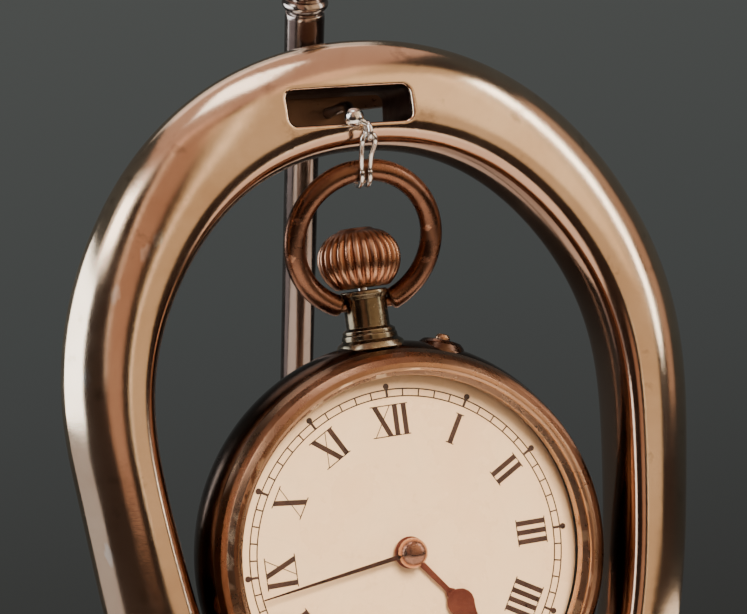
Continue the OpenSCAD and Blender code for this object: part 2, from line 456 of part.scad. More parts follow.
module ratchet_wheel() color("Silver") W() at(c_bar) difference() { gear(37, m_rat, -6.75, -6.36, mesh_phase(ang_of(c_bar, c_crw), 37, 0)); disc(0.58, -8, -5); }
module crown_wheel() color("Silver") W() at(c_crw) { gear(28, m_rat, -6.75, -6.36, mesh_phase(ang_of(c_crw, c_bar), 28, 1)); disc(0.49, -6.5, -5.3); disc(1.6, -6.86, -6.7); }
c_click = c_bar + [-8.4, 3.2];
module ratchet_click() color("Silver") W() at(c_click) { translate([0, 0, -6.7]) linear_extrude(0.32) union() { circle(r = 0.9); polygon([[-0.6, -0.4], [-0.6, -1.0], [0.2, -1.2], [1.6, -2.1], [1.95, -1.7], [0.9, -0.4]]); } disc(1.0, -6.75, -6.38); }

stirrup_arch();
tread_plate();
tread_screws();
strut_bracket();
bracket_screws();
hook_stem();
hinge_pin();
strut_rod();
strut_ferrule();
strut_collar();
strut_finial();
strut_foot();
hook_link();
pendant_bow();
case_band();
main_plate();
barrel_bridge();
train_bridge();
balance_cock();
bridge_screws();
dial();
case_screws();
bezel_hinge_pin();
back_hinge_pin();
bezel();
crystal();
back_cover();
inner_cover();
winding_crown();
winding_stem();
setting_button();
button_spring();
cannon_pinion();
minute_hand();
centre_cap();
hour_wheel();
hour_hand();
minute_wheel();
centre_wheel();
third_wheel();
fourth_wheel();
escape_wheel();
pallet_lever();
balance_wheel();
hairspring();
barrel_drum();
mainspring();
barrel_arbor();
ratchet_wheel();
crown_wheel();
ratchet_click();
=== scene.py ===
import math
import random
import bpy
import bmesh
from mathutils import Matrix, Vector


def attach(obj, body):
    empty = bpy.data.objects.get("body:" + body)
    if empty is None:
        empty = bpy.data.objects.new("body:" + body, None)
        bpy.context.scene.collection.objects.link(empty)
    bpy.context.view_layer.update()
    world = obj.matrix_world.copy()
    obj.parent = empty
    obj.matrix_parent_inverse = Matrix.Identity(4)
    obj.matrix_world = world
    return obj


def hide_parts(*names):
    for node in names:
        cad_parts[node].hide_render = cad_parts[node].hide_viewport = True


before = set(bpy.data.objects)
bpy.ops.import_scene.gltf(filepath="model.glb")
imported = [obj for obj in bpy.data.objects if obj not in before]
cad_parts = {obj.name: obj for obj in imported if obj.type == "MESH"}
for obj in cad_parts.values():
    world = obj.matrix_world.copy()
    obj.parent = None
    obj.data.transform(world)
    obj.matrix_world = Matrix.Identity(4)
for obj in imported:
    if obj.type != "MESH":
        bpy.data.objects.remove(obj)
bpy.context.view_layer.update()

MM = 0.001
pi = math.pi


def rad(a):
    return a * pi / 180.0


# ------------------------------------------------------------------ camera
cam_data = bpy.data.cameras.new("camera")
cam = bpy.data.objects.new("camera", cam_data)
bpy.context.scene.collection.objects.link(cam)
cam_data.sensor_width = 36.0
cam_data.lens = 120.48
cam_data.clip_start = 0.01
cam_data.clip_end = 20.0
right = Vector((0.944757, -0.29802, -0.136452)).normalized()
back = Vector((-0.300582, -0.953754, 0.00191))
back = (back - right * back.dot(right)).normalized()
up = back.cross(right)
cam.matrix_world = Matrix((
    (right.x, up.x, back.x, -0.088373),
    (right.y, up.y, back.y, -0.280729),
    (right.z, up.z, back.z, 0.067644),
    (0, 0, 0, 1)))
bpy.context.scene.camera = cam

# ------------------------------------------------------------------ frames (mm)
DIAL_Z = 38.0


def T(x, y, z):
    return Matrix.Translation((x, y, z))


W = T(0, -0.8, DIAL_Z) @ Matrix.Rotation(rad(90), 4, "X")      # x right, y up, z to the reader
P = W @ T(0, 0, -3.6) @ Matrix.Rotation(rad(-90), 4, "X")       # z along the pendant
S = T(0, 16.77, 94) @ Matrix.Rotation(rad(30.6), 4, "X")        # z up the strut
ID = Matrix.Identity(4)


# ------------------------------------------------------------------ mesh helpers
def make(name, verts, faces, mat, body, replaces=(), slot=None, sharp=40, weld=0.0004, recalc=True, extra=None):
    me = bpy.data.meshes.new(name)
    me.from_pydata([tuple(c * MM for c in v) for v in verts], [], faces)
    bm = bmesh.new()
    bm.from_mesh(me)
    if weld:
        bmesh.ops.remove_doubles(bm, verts=bm.verts, dist=weld * MM)
    bmesh.ops.dissolve_degenerate(bm, dist=1e-8, edges=bm.edges)
    if recalc:
        bmesh.ops.recalc_face_normals(bm, faces=bm.faces)
    bm.to_mesh(me)
    bm.free()
    me.polygons.foreach_set("use_smooth", [True] * len(me.polygons))
    if sharp:
        me.set_sharp_from_angle(angle=rad(sharp))
    me.update()
    ob = bpy.data.objects.new(name, me)
    bpy.context.scene.collection.objects.link(ob)
    mats = mat if isinstance(mat, (list, tuple)) else [mat]
    for m in mats:
        me.materials.append(m)
    if extra:
        extra(ob)
    if replaces:
        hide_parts(*replaces)
    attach(ob, body)
    return ob


def fillet(prof, r, n=5, closed=False):
    """Rounds the corners of a profile. r is one radius or one for each point."""
    out = []
    m = len(prof)
    for i, p in enumerate(prof):
        ri = r[i] if isinstance(r, (list, tuple)) else r
        if (not closed and i in (0, m - 1)) or ri <= 0:
            out.append(tuple(p))
            continue
        a, b, c = Vector(prof[i - 1]), Vector(p), Vector(prof[(i + 1) % m])
        u, v = (a - b), (c - b)
        lu, lv = u.length, v.length
        if lu < 1e-9 or lv < 1e-9:
            out.append(tuple(p))
            continue
        u, v = u / lu, v / lv
        ang = u.angle(v)
        if ang > pi - 0.02 or ang < 0.02:
            out.append(tuple(p))
            continue
        d = min(ri / math.tan(ang / 2), lu * 0.49, lv * 0.49)
        rr = d * math.tan(ang / 2)
        cen = b + (u + v).normalized() * (rr / math.sin(ang / 2))
        s, e = b + u * d - cen, b + v * d - cen
        tot = s.angle(e)
        for k in range(n + 1):
            t = k / n
            q = (s * math.sin((1 - t) * tot) + e * math.sin(t * tot)) / max(math.sin(tot), 1e-9)
            out.append(tuple(cen + q))
    return out


def lathe_geo(prof, seg, M, closed=False, rmod=None):
    """Surface of revolution of (r, z) about local z. rmod(r, z, angle) may change r."""
    verts, faces, base = [], [], 0
    n = len(prof)
    for (r, z) in prof:
        for k in range(seg):
            a = 2 * pi * k / seg
            rr = rmod(r, z, a) if rmod else r
            verts.append(M @ Vector((rr * math.cos(a), rr * math.sin(a), z)))
    rng = range(n if closed else n - 1)
    for i in rng:
        j = (i + 1) % n
        for k in range(seg):
            l = (k + 1) % seg
            faces.append((i * seg + k, i * seg + l, j * seg + l, j * seg + k))
    return verts, faces


def lathe(name, prof, M, mat, body, seg=96, closed=False, rmod=None, **kw):
    v, f = lathe_geo(prof, seg, M, closed, rmod)
    return make(name, v, f, mat, body, **kw)


def catmull(pts, n):
    out = []
    P_ = [Vector(p) for p in pts]
    for i in range(len(P_) - 1):
        p0 = P_[i - 1] if i else P_[0] * 2 - P_[1]
        p1, p2 = P_[i], P_[i + 1]
        p3 = P_[i + 2] if i + 2 < len(P_) else P_[-1] * 2 - P_[-2]
        for k in range(n):
            t = k / n
            out.append(0.5 * ((2 * p1) + (p2 - p0) * t + (2 * p0 - 5 * p1 + 4 * p2 - p3) * t * t
                              + (3 * p1 - p0 - 3 * p2 + p3) * t ** 3))
    out.append(P_[-1])
    return out


def sweep_geo(pts, rad_fn, sides=20, side=Vector((1, 0, 0)), squash=1.0):
    """Round wire with hemispherical ends along points."""
    n = len(pts)
    L = [0.0]
    for i in range(1, n):
        L.append(L[-1] + (pts[i] - pts[i - 1]).length)
    rings = []
    def frame_at(i):
        t = (pts[min(i + 1, n - 1)] - pts[max(i - 1, 0)]).normalized()
        b = t.cross(side).normalized()
        s = b.cross(t).normalized()
        return t, b, s
    for i in range(n):
        t, b, s = frame_at(i)
        r = rad_fn(L[i] / L[-1])
        rings.append((pts[i], s, b, r))
    # round caps
    t0, b0, s0 = frame_at(0)
    t1, b1, s1 = frame_at(n - 1)
    r0, r1 = rings[0][3], rings[-1][3]
    cap0 = [(pts[0] - t0 * r0 * math.sin(a), s0, b0, max(r0 * math.cos(a), 1e-4)) for a in (rad(90), rad(65), rad(40), rad(20))]
    cap1 = [(pts[-1] + t1 * r1 * math.sin(a), s1, b1, max(r1 * math.cos(a), 1e-4)) for a in (rad(20), rad(40), rad(65), rad(90))]
    rings = cap0 + rings + cap1
    verts, faces = [], []
    for (c, s, b, r) in rings:
        for k in range(sides):
            a = 2 * pi * k / sides
            verts.append(c + s * (r * math.cos(a)) + b * (r * squash * math.sin(a)))
    for i in range(len(rings) - 1):
        for k in range(sides):
            l = (k + 1) % sides
            faces.append((i * sides + k, i * sides + l, (i + 1) * sides + l, (i + 1) * sides + k))
    return verts, faces


def join_geo(*gs):
    v, f = [], []
    for (a, b) in gs:
        o = len(v)
        v += list(a)
        f += [tuple(i + o for i in q) for q in b]
    return v, f


def prism(poly, z0, z1, M, inset=0.0):
    """A flat outline given thickness, with its top edge drawn in by inset."""
    n = len(poly)
    cx = sum(p[0] for p in poly) / n
    cy = sum(p[1] for p in poly) / n
    v = [M @ Vector((p[0], p[1], z0)) for p in poly]
    zt = z1
    v += [M @ Vector((p[0], p[1], zt - inset)) for p in poly]
    top = []
    for i, p in enumerate(poly):
        a, c = Vector(poly[i - 1]), Vector(poly[(i + 1) % n])
        b = Vector(p)
        e1, e2 = (b - a), (c - b)
        n1 = Vector((-e1.y, e1.x)).normalized() if e1.length else Vector((0, 0))
        n2 = Vector((-e2.y, e2.x)).normalized() if e2.length else Vector((0, 0))
        m = (n1 + n2)
        m = m.normalized() if m.length > 1e-6 else n1
        top.append(b + m * inset)
    v += [M @ Vector((p.x, p.y, zt)) for p in top]
    f = [tuple(range(n - 1, -1, -1)), tuple(range(2 * n, 3 * n))]
    for i in range(n):
        j = (i + 1) % n
        f.append((i, j, n + j, n + i))
        f.append((n + i, n + j, 2 * n + j, 2 * n + i))
    return v, f


# ------------------------------------------------------------------ materials
def mat_base(name):
    m = bpy.data.materials.new(name)
    m.use_nodes = True
    nt = m.node_tree
    nt.nodes.clear()
    out = nt.nodes.new("ShaderNodeOutputMaterial")
    bs = nt.nodes.new("ShaderNodeBsdfPrincipled")
    nt.links.new(bs.outputs[0], out.inputs[0])
    tc = nt.nodes.new("ShaderNodeTexCoord")
    return m, nt, bs, tc


def nmap(nt, tc, scale, rot=(0, 0, 0)):
    mp = nt.nodes.new("ShaderNodeMapping")
    mp.inputs["Scale"].default_value = scale
    mp.inputs["Rotation"].default_value = rot
    nt.links.new(tc.outputs["Object"], mp.inputs["Vector"])
    return mp


def noise(nt, vec, scale, detail=4, rough=0.55, dist=0.0):
    n = nt.nodes.new("ShaderNodeTexNoise")
    n.inputs["Scale"].default_value = scale
    n.inputs["Detail"].default_value = detail
    n.inputs["Roughness"].default_value = rough
    n.inputs["Distortion"].default_value = dist
    nt.links.new(vec.outputs[0], n.inputs["Vector"])
    return n


def ramp(nt, src, stops):
    r = nt.nodes.new("ShaderNodeValToRGB")
    el = r.color_ramp.elements
    while len(el) < len(stops):
        el.new(0.5)
    for e, (p, c) in zip(el, stops):
        e.position = p
        e.color = (c[0], c[1], c[2], 1.0)
    nt.links.new(src, r.inputs[0])
    return r


def mrange(nt, src, a, b, lo=0.0, hi=1.0):
    m = nt.nodes.new("ShaderNodeMapRange")
    m.inputs["From Min"].default_value = lo
    m.inputs["From Max"].default_value = hi
    m.inputs["To Min"].default_value = a
    m.inputs["To Max"].default_value = b
    nt.links.new(src, m.inputs["Value"])
    return m


def mixc(nt, fac, a, b, mode="MIX"):
    m = nt.nodes.new("ShaderNodeMix")
    m.data_type = "RGBA"
    m.blend_type = mode
    if hasattr(fac, "links"):
        nt.links.new(fac, m.inputs[0])
    else:
        m.inputs[0].default_value = fac
    for s, sock in ((a, m.inputs[6]), (b, m.inputs[7])):
        if hasattr(s, "links"):
            nt.links.new(s, sock)
        else:
            sock.default_value = (s[0], s[1], s[2], 1.0)
    return m.outputs[2]


def metal(name, base, tarnish, rough=(0.12, 0.26), blotch=60.0, tarnish_at=(0.42, 0.72), wear=None, wear_at=(0.505, 0.56),
          bump=0.12, scratch=0.35, grain=900.0, coat=0.0, inward_shade=None):
    """Polished or worn metal: tarnish in blotches, lighter edges, fine scratches and pits, and optional painted shade
    on faces that look inwards.
    """
    m, nt, bs, tc = mat_base(name)
    v = nmap(nt, tc, (1, 1, 1))
    n1 = noise(nt, v, blotch, 6, 0.6, 0.4)
    n2 = noise(nt, v, blotch * 6.5, 5, 0.65)
    f1 = ramp(nt, n1.outputs["Fac"], [(tarnish_at[0], (0, 0, 0)), (tarnish_at[1], (1, 1, 1))])
    col = mixc(nt, f1.outputs[0], base, tarnish)
    spot = ramp(nt, n2.outputs["Fac"], [(0.60, (0, 0, 0)), (0.74, (0.55, 0.55, 0.55))])
    col = mixc(nt, spot.outputs[0], col, [c * 0.55 for c in tarnish])
    if wear:
        g = nt.nodes.new("ShaderNodeNewGeometry")
        wr = ramp(nt, g.outputs["Pointiness"], [(wear_at[0], (0, 0, 0)), (wear_at[1], (1, 1, 1))])
        col = mixc(nt, wr.outputs[0], col, wear)
    if inward_shade:
        # painted shade: faces that look towards the middle of the arch get a darker colour for the shade and dark
        # reflections they catch; how far a face looks inwards, in object space
        away = nt.nodes.new("ShaderNodeVectorMath")
        away.operation = "SUBTRACT"
        nt.links.new(tc.outputs["Object"], away.inputs[0])
        away.inputs[1].default_value = inward_shade[0]
        flat = nt.nodes.new("ShaderNodeVectorMath")
        flat.operation = "MULTIPLY"
        flat.inputs[1].default_value = (1, 0, 1)
        nt.links.new(away.outputs[0], flat.inputs[0])
        unit = nt.nodes.new("ShaderNodeVectorMath")
        unit.operation = "NORMALIZE"
        nt.links.new(flat.outputs[0], unit.inputs[0])
        dt = nt.nodes.new("ShaderNodeVectorMath")
        dt.operation = "DOT_PRODUCT"
        nt.links.new(unit.outputs[0], dt.inputs[0])
        nt.links.new(tc.outputs["Normal"], dt.inputs[1])
        rag = nt.nodes.new("ShaderNodeMath")
        rag.operation = "MULTIPLY_ADD"
        nt.links.new(n2.outputs["Fac"], rag.inputs[0])
        rag.inputs[1].default_value = 0.16
        nt.links.new(dt.outputs["Value"], rag.inputs[2])
        inward_shade_fac = mrange(nt, rag.outputs[0], 0.0, 1.0, -0.22, -0.48)
        col = mixc(nt, inward_shade_fac.outputs[0], col, inward_shade[1])
    nt.links.new(col, bs.inputs["Base Color"])
    bs.inputs["Metallic"].default_value = 1.0
    n3 = noise(nt, v, blotch * 3.0, 5, 0.6)
    r = mrange(nt, n3.outputs["Fac"], rough[0], rough[1], 0.3, 0.7)
    nt.links.new(r.outputs[0], bs.inputs["Roughness"])
    # fine scratches in two directions, and pits
    s1 = noise(nt, nmap(nt, tc, (18, 1.2, 1.2), (0.3, 0.2, 0.4)), grain, 3, 0.6)
    s2 = noise(nt, nmap(nt, tc, (1.2, 1.2, 16), (0.1, 0.5, -0.3)), grain, 3, 0.6)
    add = nt.nodes.new("ShaderNodeMath")
    add.operation = "ADD"
    nt.links.new(s1.outputs["Fac"], add.inputs[0])
    nt.links.new(s2.outputs["Fac"], add.inputs[1])
    b1 = nt.nodes.new("ShaderNodeBump")
    b1.inputs["Strength"].default_value = scratch
    b1.inputs["Distance"].default_value = 0.000012
    nt.links.new(add.outputs[0], b1.inputs["Height"])
    n5 = noise(nt, v, blotch * 2.2, 4, 0.5)
    b2 = nt.nodes.new("ShaderNodeBump")
    b2.inputs["Strength"].default_value = bump
    b2.inputs["Distance"].default_value = 0.0004
    nt.links.new(n5.outputs["Fac"], b2.inputs["Height"])
    nt.links.new(b1.outputs[0], b2.inputs["Normal"])
    nt.links.new(b2.outputs[0], bs.inputs["Normal"])
    if coat:
        bs.inputs["Coat Weight"].default_value = coat
        bs.inputs["Coat Roughness"].default_value = 0.08
    return m


def enamel(name):
    m, nt, bs, tc = mat_base(name)
    v = nmap(nt, tc, (1, 1, 1))
    n1 = noise(nt, v, 90, 6, 0.6)
    c1 = ramp(nt, n1.outputs["Fac"], [(0.3, (0.93, 0.63, 0.365)), (0.55, (0.97, 0.69, 0.415)), (0.75, (0.98, 0.73, 0.46))])
    n2 = noise(nt, v, 900, 3, 0.6)
    sp = ramp(nt, n2.outputs["Fac"], [(0.70, (0, 0, 0)), (0.80, (0.25, 0.25, 0.25))])
    col = mixc(nt, sp.outputs[0], c1.outputs[0], (0.62, 0.48, 0.36))
    # hairline crazing
    vo = nt.nodes.new("ShaderNodeTexVoronoi")
    vo.feature = "DISTANCE_TO_EDGE"
    vo.inputs["Scale"].default_value = 150
    vv = nmap(nt, tc, (1, 1, 1))
    wob = noise(nt, vv, 120, 4, 0.5)
    ad = nt.nodes.new("ShaderNodeVectorMath")
    ad.operation = "MULTIPLY_ADD"
    ad.inputs[1].default_value = (0.004, 0.004, 0.004)
    nt.links.new(wob.outputs["Color"], ad.inputs[0])
    nt.links.new(vv.outputs[0], ad.inputs[2])
    nt.links.new(ad.outputs[0], vo.inputs["Vector"])
    cr = ramp(nt, vo.outputs["Distance"], [(0.0, (0.10, 0.10, 0.10)), (0.02, (0, 0, 0))])
    col = mixc(nt, cr.outputs[0], col, (0.55, 0.42, 0.30))
    nt.links.new(col, bs.inputs["Base Color"])
    bs.inputs["Metallic"].default_value = 0.0
    r = mrange(nt, n1.outputs["Fac"], 0.22, 0.34, 0.3, 0.7)
    nt.links.new(r.outputs[0], bs.inputs["Roughness"])
    bs.inputs["Coat Weight"].default_value = 0.35
    bs.inputs["Coat Roughness"].default_value = 0.08
    b = nt.nodes.new("ShaderNodeBump")
    b.inputs["Strength"].default_value = 0.1
    b.inputs["Distance"].default_value = 0.00008
    nt.links.new(n1.outputs["Fac"], b.inputs["Height"])
    nt.links.new(b.outputs[0], bs.inputs["Normal"])
    return m


def paint(name, c1, c2, rough=0.4, metallic=0.0, scale=500, spec=0.5):
    m, nt, bs, tc = mat_base(name)
    v = nmap(nt, tc, (1, 1, 1))
    n1 = noise(nt, v, scale, 5, 0.6)
    c = ramp(nt, n1.outputs["Fac"], [(0.35, c1), (0.65, c2)])
    nt.links.new(c.outputs[0], bs.inputs["Base Color"])
    bs.inputs["Metallic"].default_value = metallic
    r = mrange(nt, n1.outputs["Fac"], rough * 0.8, rough * 1.25, 0.3, 0.7)
    nt.links.new(r.outputs[0], bs.inputs["Roughness"])
    bs.inputs["Specular IOR Level"].default_value = spec
    b = nt.nodes.new("ShaderNodeBump")
    b.inputs["Strength"].default_value = 0.15
    b.inputs["Distance"].default_value = 0.00005
    nt.links.new(n1.outputs["Fac"], b.inputs["Height"])
    nt.links.new(b.outputs[0], bs.inputs["Normal"])
    return m


def glass(name):
    m, nt, bs, tc = mat_base(name)
    v = nmap(nt, tc, (1, 1, 1))
    n1 = noise(nt, v, 400, 4, 0.6)
    c = ramp(nt, n1.outputs["Fac"], [(0.3, (0.02, 0.022, 0.021)), (0.7, (0.03, 0.032, 0.031))])
    nt.links.new(c.outputs[0], bs.inputs["Base Color"])
    bs.inputs["Metallic"].default_value = 0.0
    r = mrange(nt, n1.outputs["Fac"], 0.02, 0.06, 0.3, 0.7)
    nt.links.new(r.outputs[0], bs.inputs["Roughness"])
    bs.inputs["Alpha"].default_value = 0.10
    bs.inputs["IOR"].default_value = 1.5
    return m


# the arch's last colour pair is painted shade for the faces that look into the arch
M_ARCH = metal("arch_plate", (0.87, 0.70, 0.52), (0.66, 0.46, 0.31), rough=(0.09, 0.17), blotch=38, tarnish_at=(0.42, 0.78),
               wear=(0.92, 0.84, 0.72), wear_at=(0.52, 0.59), bump=0.14, scratch=0.30, grain=700, inward_shade=((0, 0, 0.0619), (0.50, 0.32, 0.225)))
M_TREAD = metal("tread_plate_metal", (0.80, 0.67, 0.53), (0.56, 0.42, 0.30), rough=(0.10, 0.20), blotch=45, tarnish_at=(0.42, 0.74),
                wear=(0.92, 0.88, 0.82), bump=0.14, scratch=0.35)
M_LUG = metal("lug_bronze", (0.085, 0.048, 0.034), (0.030, 0.018, 0.013), rough=(0.18, 0.32), blotch=140, wear=(0.34, 0.20, 0.14), bump=0.15)
# dark brown colour for the inside walls of the strap slot
M_SLOT = metal("slot_walls_dark", (0.10, 0.06, 0.045), (0.035, 0.02, 0.016), rough=(0.3, 0.5), blotch=160, bump=0.2)
# the strut's plate colour is partly its own and partly painted shade: darkened well below the arch's plate for the
# shade the strut stands in behind the arch
M_ROD_SHADED = metal("rod_plate_shaded", (0.25, 0.195, 0.175), (0.11, 0.075, 0.062), rough=(0.12, 0.22), blotch=70, wear=(0.80, 0.74, 0.70), bump=0.10)
# painted shade: the strut bracket is coloured near black for the shade it sits in behind the arch
M_BRKT_SHADED = metal("bracket_painted_shade", (0.060, 0.034, 0.026), (0.022, 0.014, 0.011), rough=(0.26, 0.42), blotch=120, wear=(0.20, 0.13, 0.095), bump=0.2)
M_WIRE = metal("hook_silver", (0.86, 0.86, 0.84), (0.50, 0.46, 0.42), rough=(0.10, 0.22), blotch=300, wear=(0.96, 0.96, 0.95), bump=0.15)
M_BAND = metal("band_copper", (0.15, 0.09, 0.062), (0.04, 0.026, 0.019), rough=(0.14, 0.30), blotch=75, tarnish_at=(0.34, 0.60),
               wear=(0.50, 0.31, 0.22), bump=0.16, scratch=0.4)
M_BEZEL = metal("bezel_copper", (0.42, 0.245, 0.155), (0.27, 0.145, 0.085), rough=(0.22, 0.34), blotch=80, tarnish_at=(0.40, 0.70),
                wear=(0.74, 0.52, 0.34), bump=0.12)
M_BOW = metal("bow_copper", (0.17, 0.080, 0.050), (0.070, 0.032, 0.021), rough=(0.20, 0.34), blotch=120, tarnish_at=(0.40, 0.66),
              wear=(0.44, 0.24, 0.16), bump=0.2, scratch=0.5)
M_CROWN = metal("crown_copper", (0.34, 0.145, 0.080), (0.18, 0.070, 0.040), rough=(0.22, 0.36), blotch=160, wear=(0.80, 0.50, 0.34), bump=0.15)
M_NECK = metal("neck_pewter", (0.20, 0.165, 0.11), (0.07, 0.054, 0.036), rough=(0.16, 0.30), blotch=170, wear=(0.62, 0.55, 0.42), bump=0.15)
M_CAP = metal("cap_copper", (0.40, 0.18, 0.12), (0.22, 0.09, 0.06), rough=(0.2, 0.3), blotch=300, wear=(0.6, 0.36, 0.26), bump=0.1)
M_GILT = metal("gilt_brass", (0.83, 0.60, 0.28), (0.66, 0.44, 0.18), rough=(0.22, 0.36), blotch=120, wear=(0.93, 0.75, 0.45), bump=0.08, scratch=0.6)
M_NICKEL = metal("nickel_bridge", (0.66, 0.64, 0.60), (0.52, 0.50, 0.46), rough=(0.24, 0.38), blotch=110, wear=(0.85, 0.84, 0.82), bump=0.05, scratch=0.9)
M_STEEL = metal("steel", (0.60, 0.60, 0.60), (0.42, 0.41, 0.40), rough=(0.15, 0.3), blotch=200, wear=(0.8, 0.8, 0.8), bump=0.06)
M_BLUED = metal("blued_steel", (0.07, 0.10, 0.28), (0.05, 0.05, 0.12), rough=(0.18, 0.3), blotch=300, wear=(0.2, 0.25, 0.5), bump=0.05)
M_ENAMEL = enamel("dial_enamel")
M_INK = paint("numeral_ink", (0.030, 0.014, 0.010), (0.055, 0.026, 0.018), rough=0.32, scale=900)
M_HAND = paint("hand_dark", (0.035, 0.014, 0.010), (0.08, 0.030, 0.020), rough=0.3, metallic=0.6, scale=700)
M_HOUR = paint("hand_red", (0.16, 0.035, 0.022), (0.26, 0.075, 0.045), rough=0.32, metallic=0.7, scale=600)
M_GLASS = glass("watch_glass")
M_RUBBER = paint("foot_rubber", (0.03, 0.03, 0.03), (0.05, 0.048, 0.045), rough=0.7, scale=900)
M_FELT = paint("baize", (0.02, 0.07, 0.04), (0.03, 0.10, 0.055), rough=0.9, scale=2500, spec=0.1)

# ------------------------------------------------------------------ stirrup arch
ARCH_C = 61.9
HD = 6.0
SW, SH, SR = 7.4, 2.1, 1.0
SLOT = Matrix.Translation((-1.1, 0, 90.55)) @ Matrix.Rotation(rad(3), 4, "Y")
SLOT_INV = SLOT.inverted()


def rho(f):
    c = lambda k: math.cos(rad(k * f))
    return 38.1 - 12.3 * c(1) + 6.8 * c(2) - 3.4 * c(3) + 1.5 * c(4) - 0.5 * c(5)


def swell(f):
    t = min(1.0, max(0.0, (-f - 104.0) / 44.0))
    return 0.8 * t * t * (3 - 2 * t)


def hw(f):
    return 5.3 + 1.1 * math.cos(rad(f)) + 0.1 * math.cos(rad(2 * f)) + swell(f)


F_END = 148.0


def polar(f):
    r = rho(abs(f))
    return Vector((r * math.sin(rad(f)) - swell(f), ARCH_C + r * math.cos(rad(f))))


LOW = polar(F_END)


def branch(s, sgn):
    return Vector((sgn * (LOW.x - 6.0 * s + 2.2 * s * s) - (0.8 if sgn < 0 else 0.0), LOW.y - (LOW.y - 3.4) * s))


def centreline():
    """(point, width) along the arch from the left foot over the crown to the right foot."""
    out = []
    for k in range(22, 0, -1):
        out.append((branch(k / 22 * 0.96, -1), hw(-F_END)))
    f = -F_END
    fs = []
    while f < F_END + 1e-6:
        fs.append(f)
        f += 0.625 if -23.1 <= f < 23 else 1.25
    fs = sorted(set(round(x, 4) for x in fs))
    for f in fs:
        out.append((polar(f), hw(f)))
    for k in range(1, 23):
        out.append((branch(k / 22 * 0.96, 1), hw(F_END)))
    return out


CLP = centreline()


def smooth_pts(pts, n):
    for _ in range(n):
        q = [pts[0]] + [(pts[i - 1] + pts[i] * 2 + pts[i + 1]) / 4 for i in range(1, len(pts) - 1)] + [pts[-1]]
        pts = q
    return pts


def sec_uv(a, w):
    c, s = math.cos(a), math.sin(a)
    return w * (c - 0.4 * s * s), HD * s


def surf_y(x, z):
    """Half depth of the crown's surface at (x, z)."""
    best = None
    for (f, p, n, w) in CROWN:
        d = (p.x - x) ** 2 + (p.y - z) ** 2
        if best is None or d < best[0]:
            best = (d, p, n, w)
    _, p, n, w = best
    u = (Vector((x, z)) - p).dot(n) / w
    u = max(-0.999, min(0.999, u))
    c = (-1 + math.sqrt(1 + 1.6 * (0.4 + u))) / 0.8
    c = max(-1, min(1, c))
    return HD * math.sqrt(max(0.0, 1 - c * c))


CROWN = []
for k in range(-340, 341):
    f = k * 0.1
    p = polar(f)
    t = (polar(f + 0.05) - polar(f - 0.05)).normalized()
    CROWN.append((f, p, Vector((-t.y, t.x)), hw(abs(f))))


def slot_outline(dx, dz):
    """Point and outward normal where the ray (dx, dz) from the slot's middle meets its rounded outline."""
    lo, hi = 0.0, 40.0
    def inside(x, z):
        ax, az = abs(x), abs(z)
        if ax > SW or az > SH:
            return False
        if ax > SW - SR and az > SH - SR:
            return (ax - SW + SR) ** 2 + (az - SH + SR) ** 2 <= SR * SR
        return True
    for _ in range(40):
        m = (lo + hi) / 2
        if inside(dx * m, dz * m):
            lo = m
        else:
            hi = m
    x, z = dx * lo, dz * lo
    ax, az = abs(x), abs(z)
    q = SLOT @ Vector((x, 0, z))
    if ax > SW - SR and az > SH - SR:
        n = Vector(((ax - SW + SR), (az - SH + SR))).normalized()
    elif SW - ax < SH - az:
        n = Vector((1, 0))
    else:
        n = Vector((0, 1))
    m = SLOT.to_3x3() @ Vector((math.copysign(n.x, x) if n.x else 0, 0, math.copysign(n.y, z) if n.y else 0))
    return Vector((q.x, q.z)), Vector((m.x, m.z))


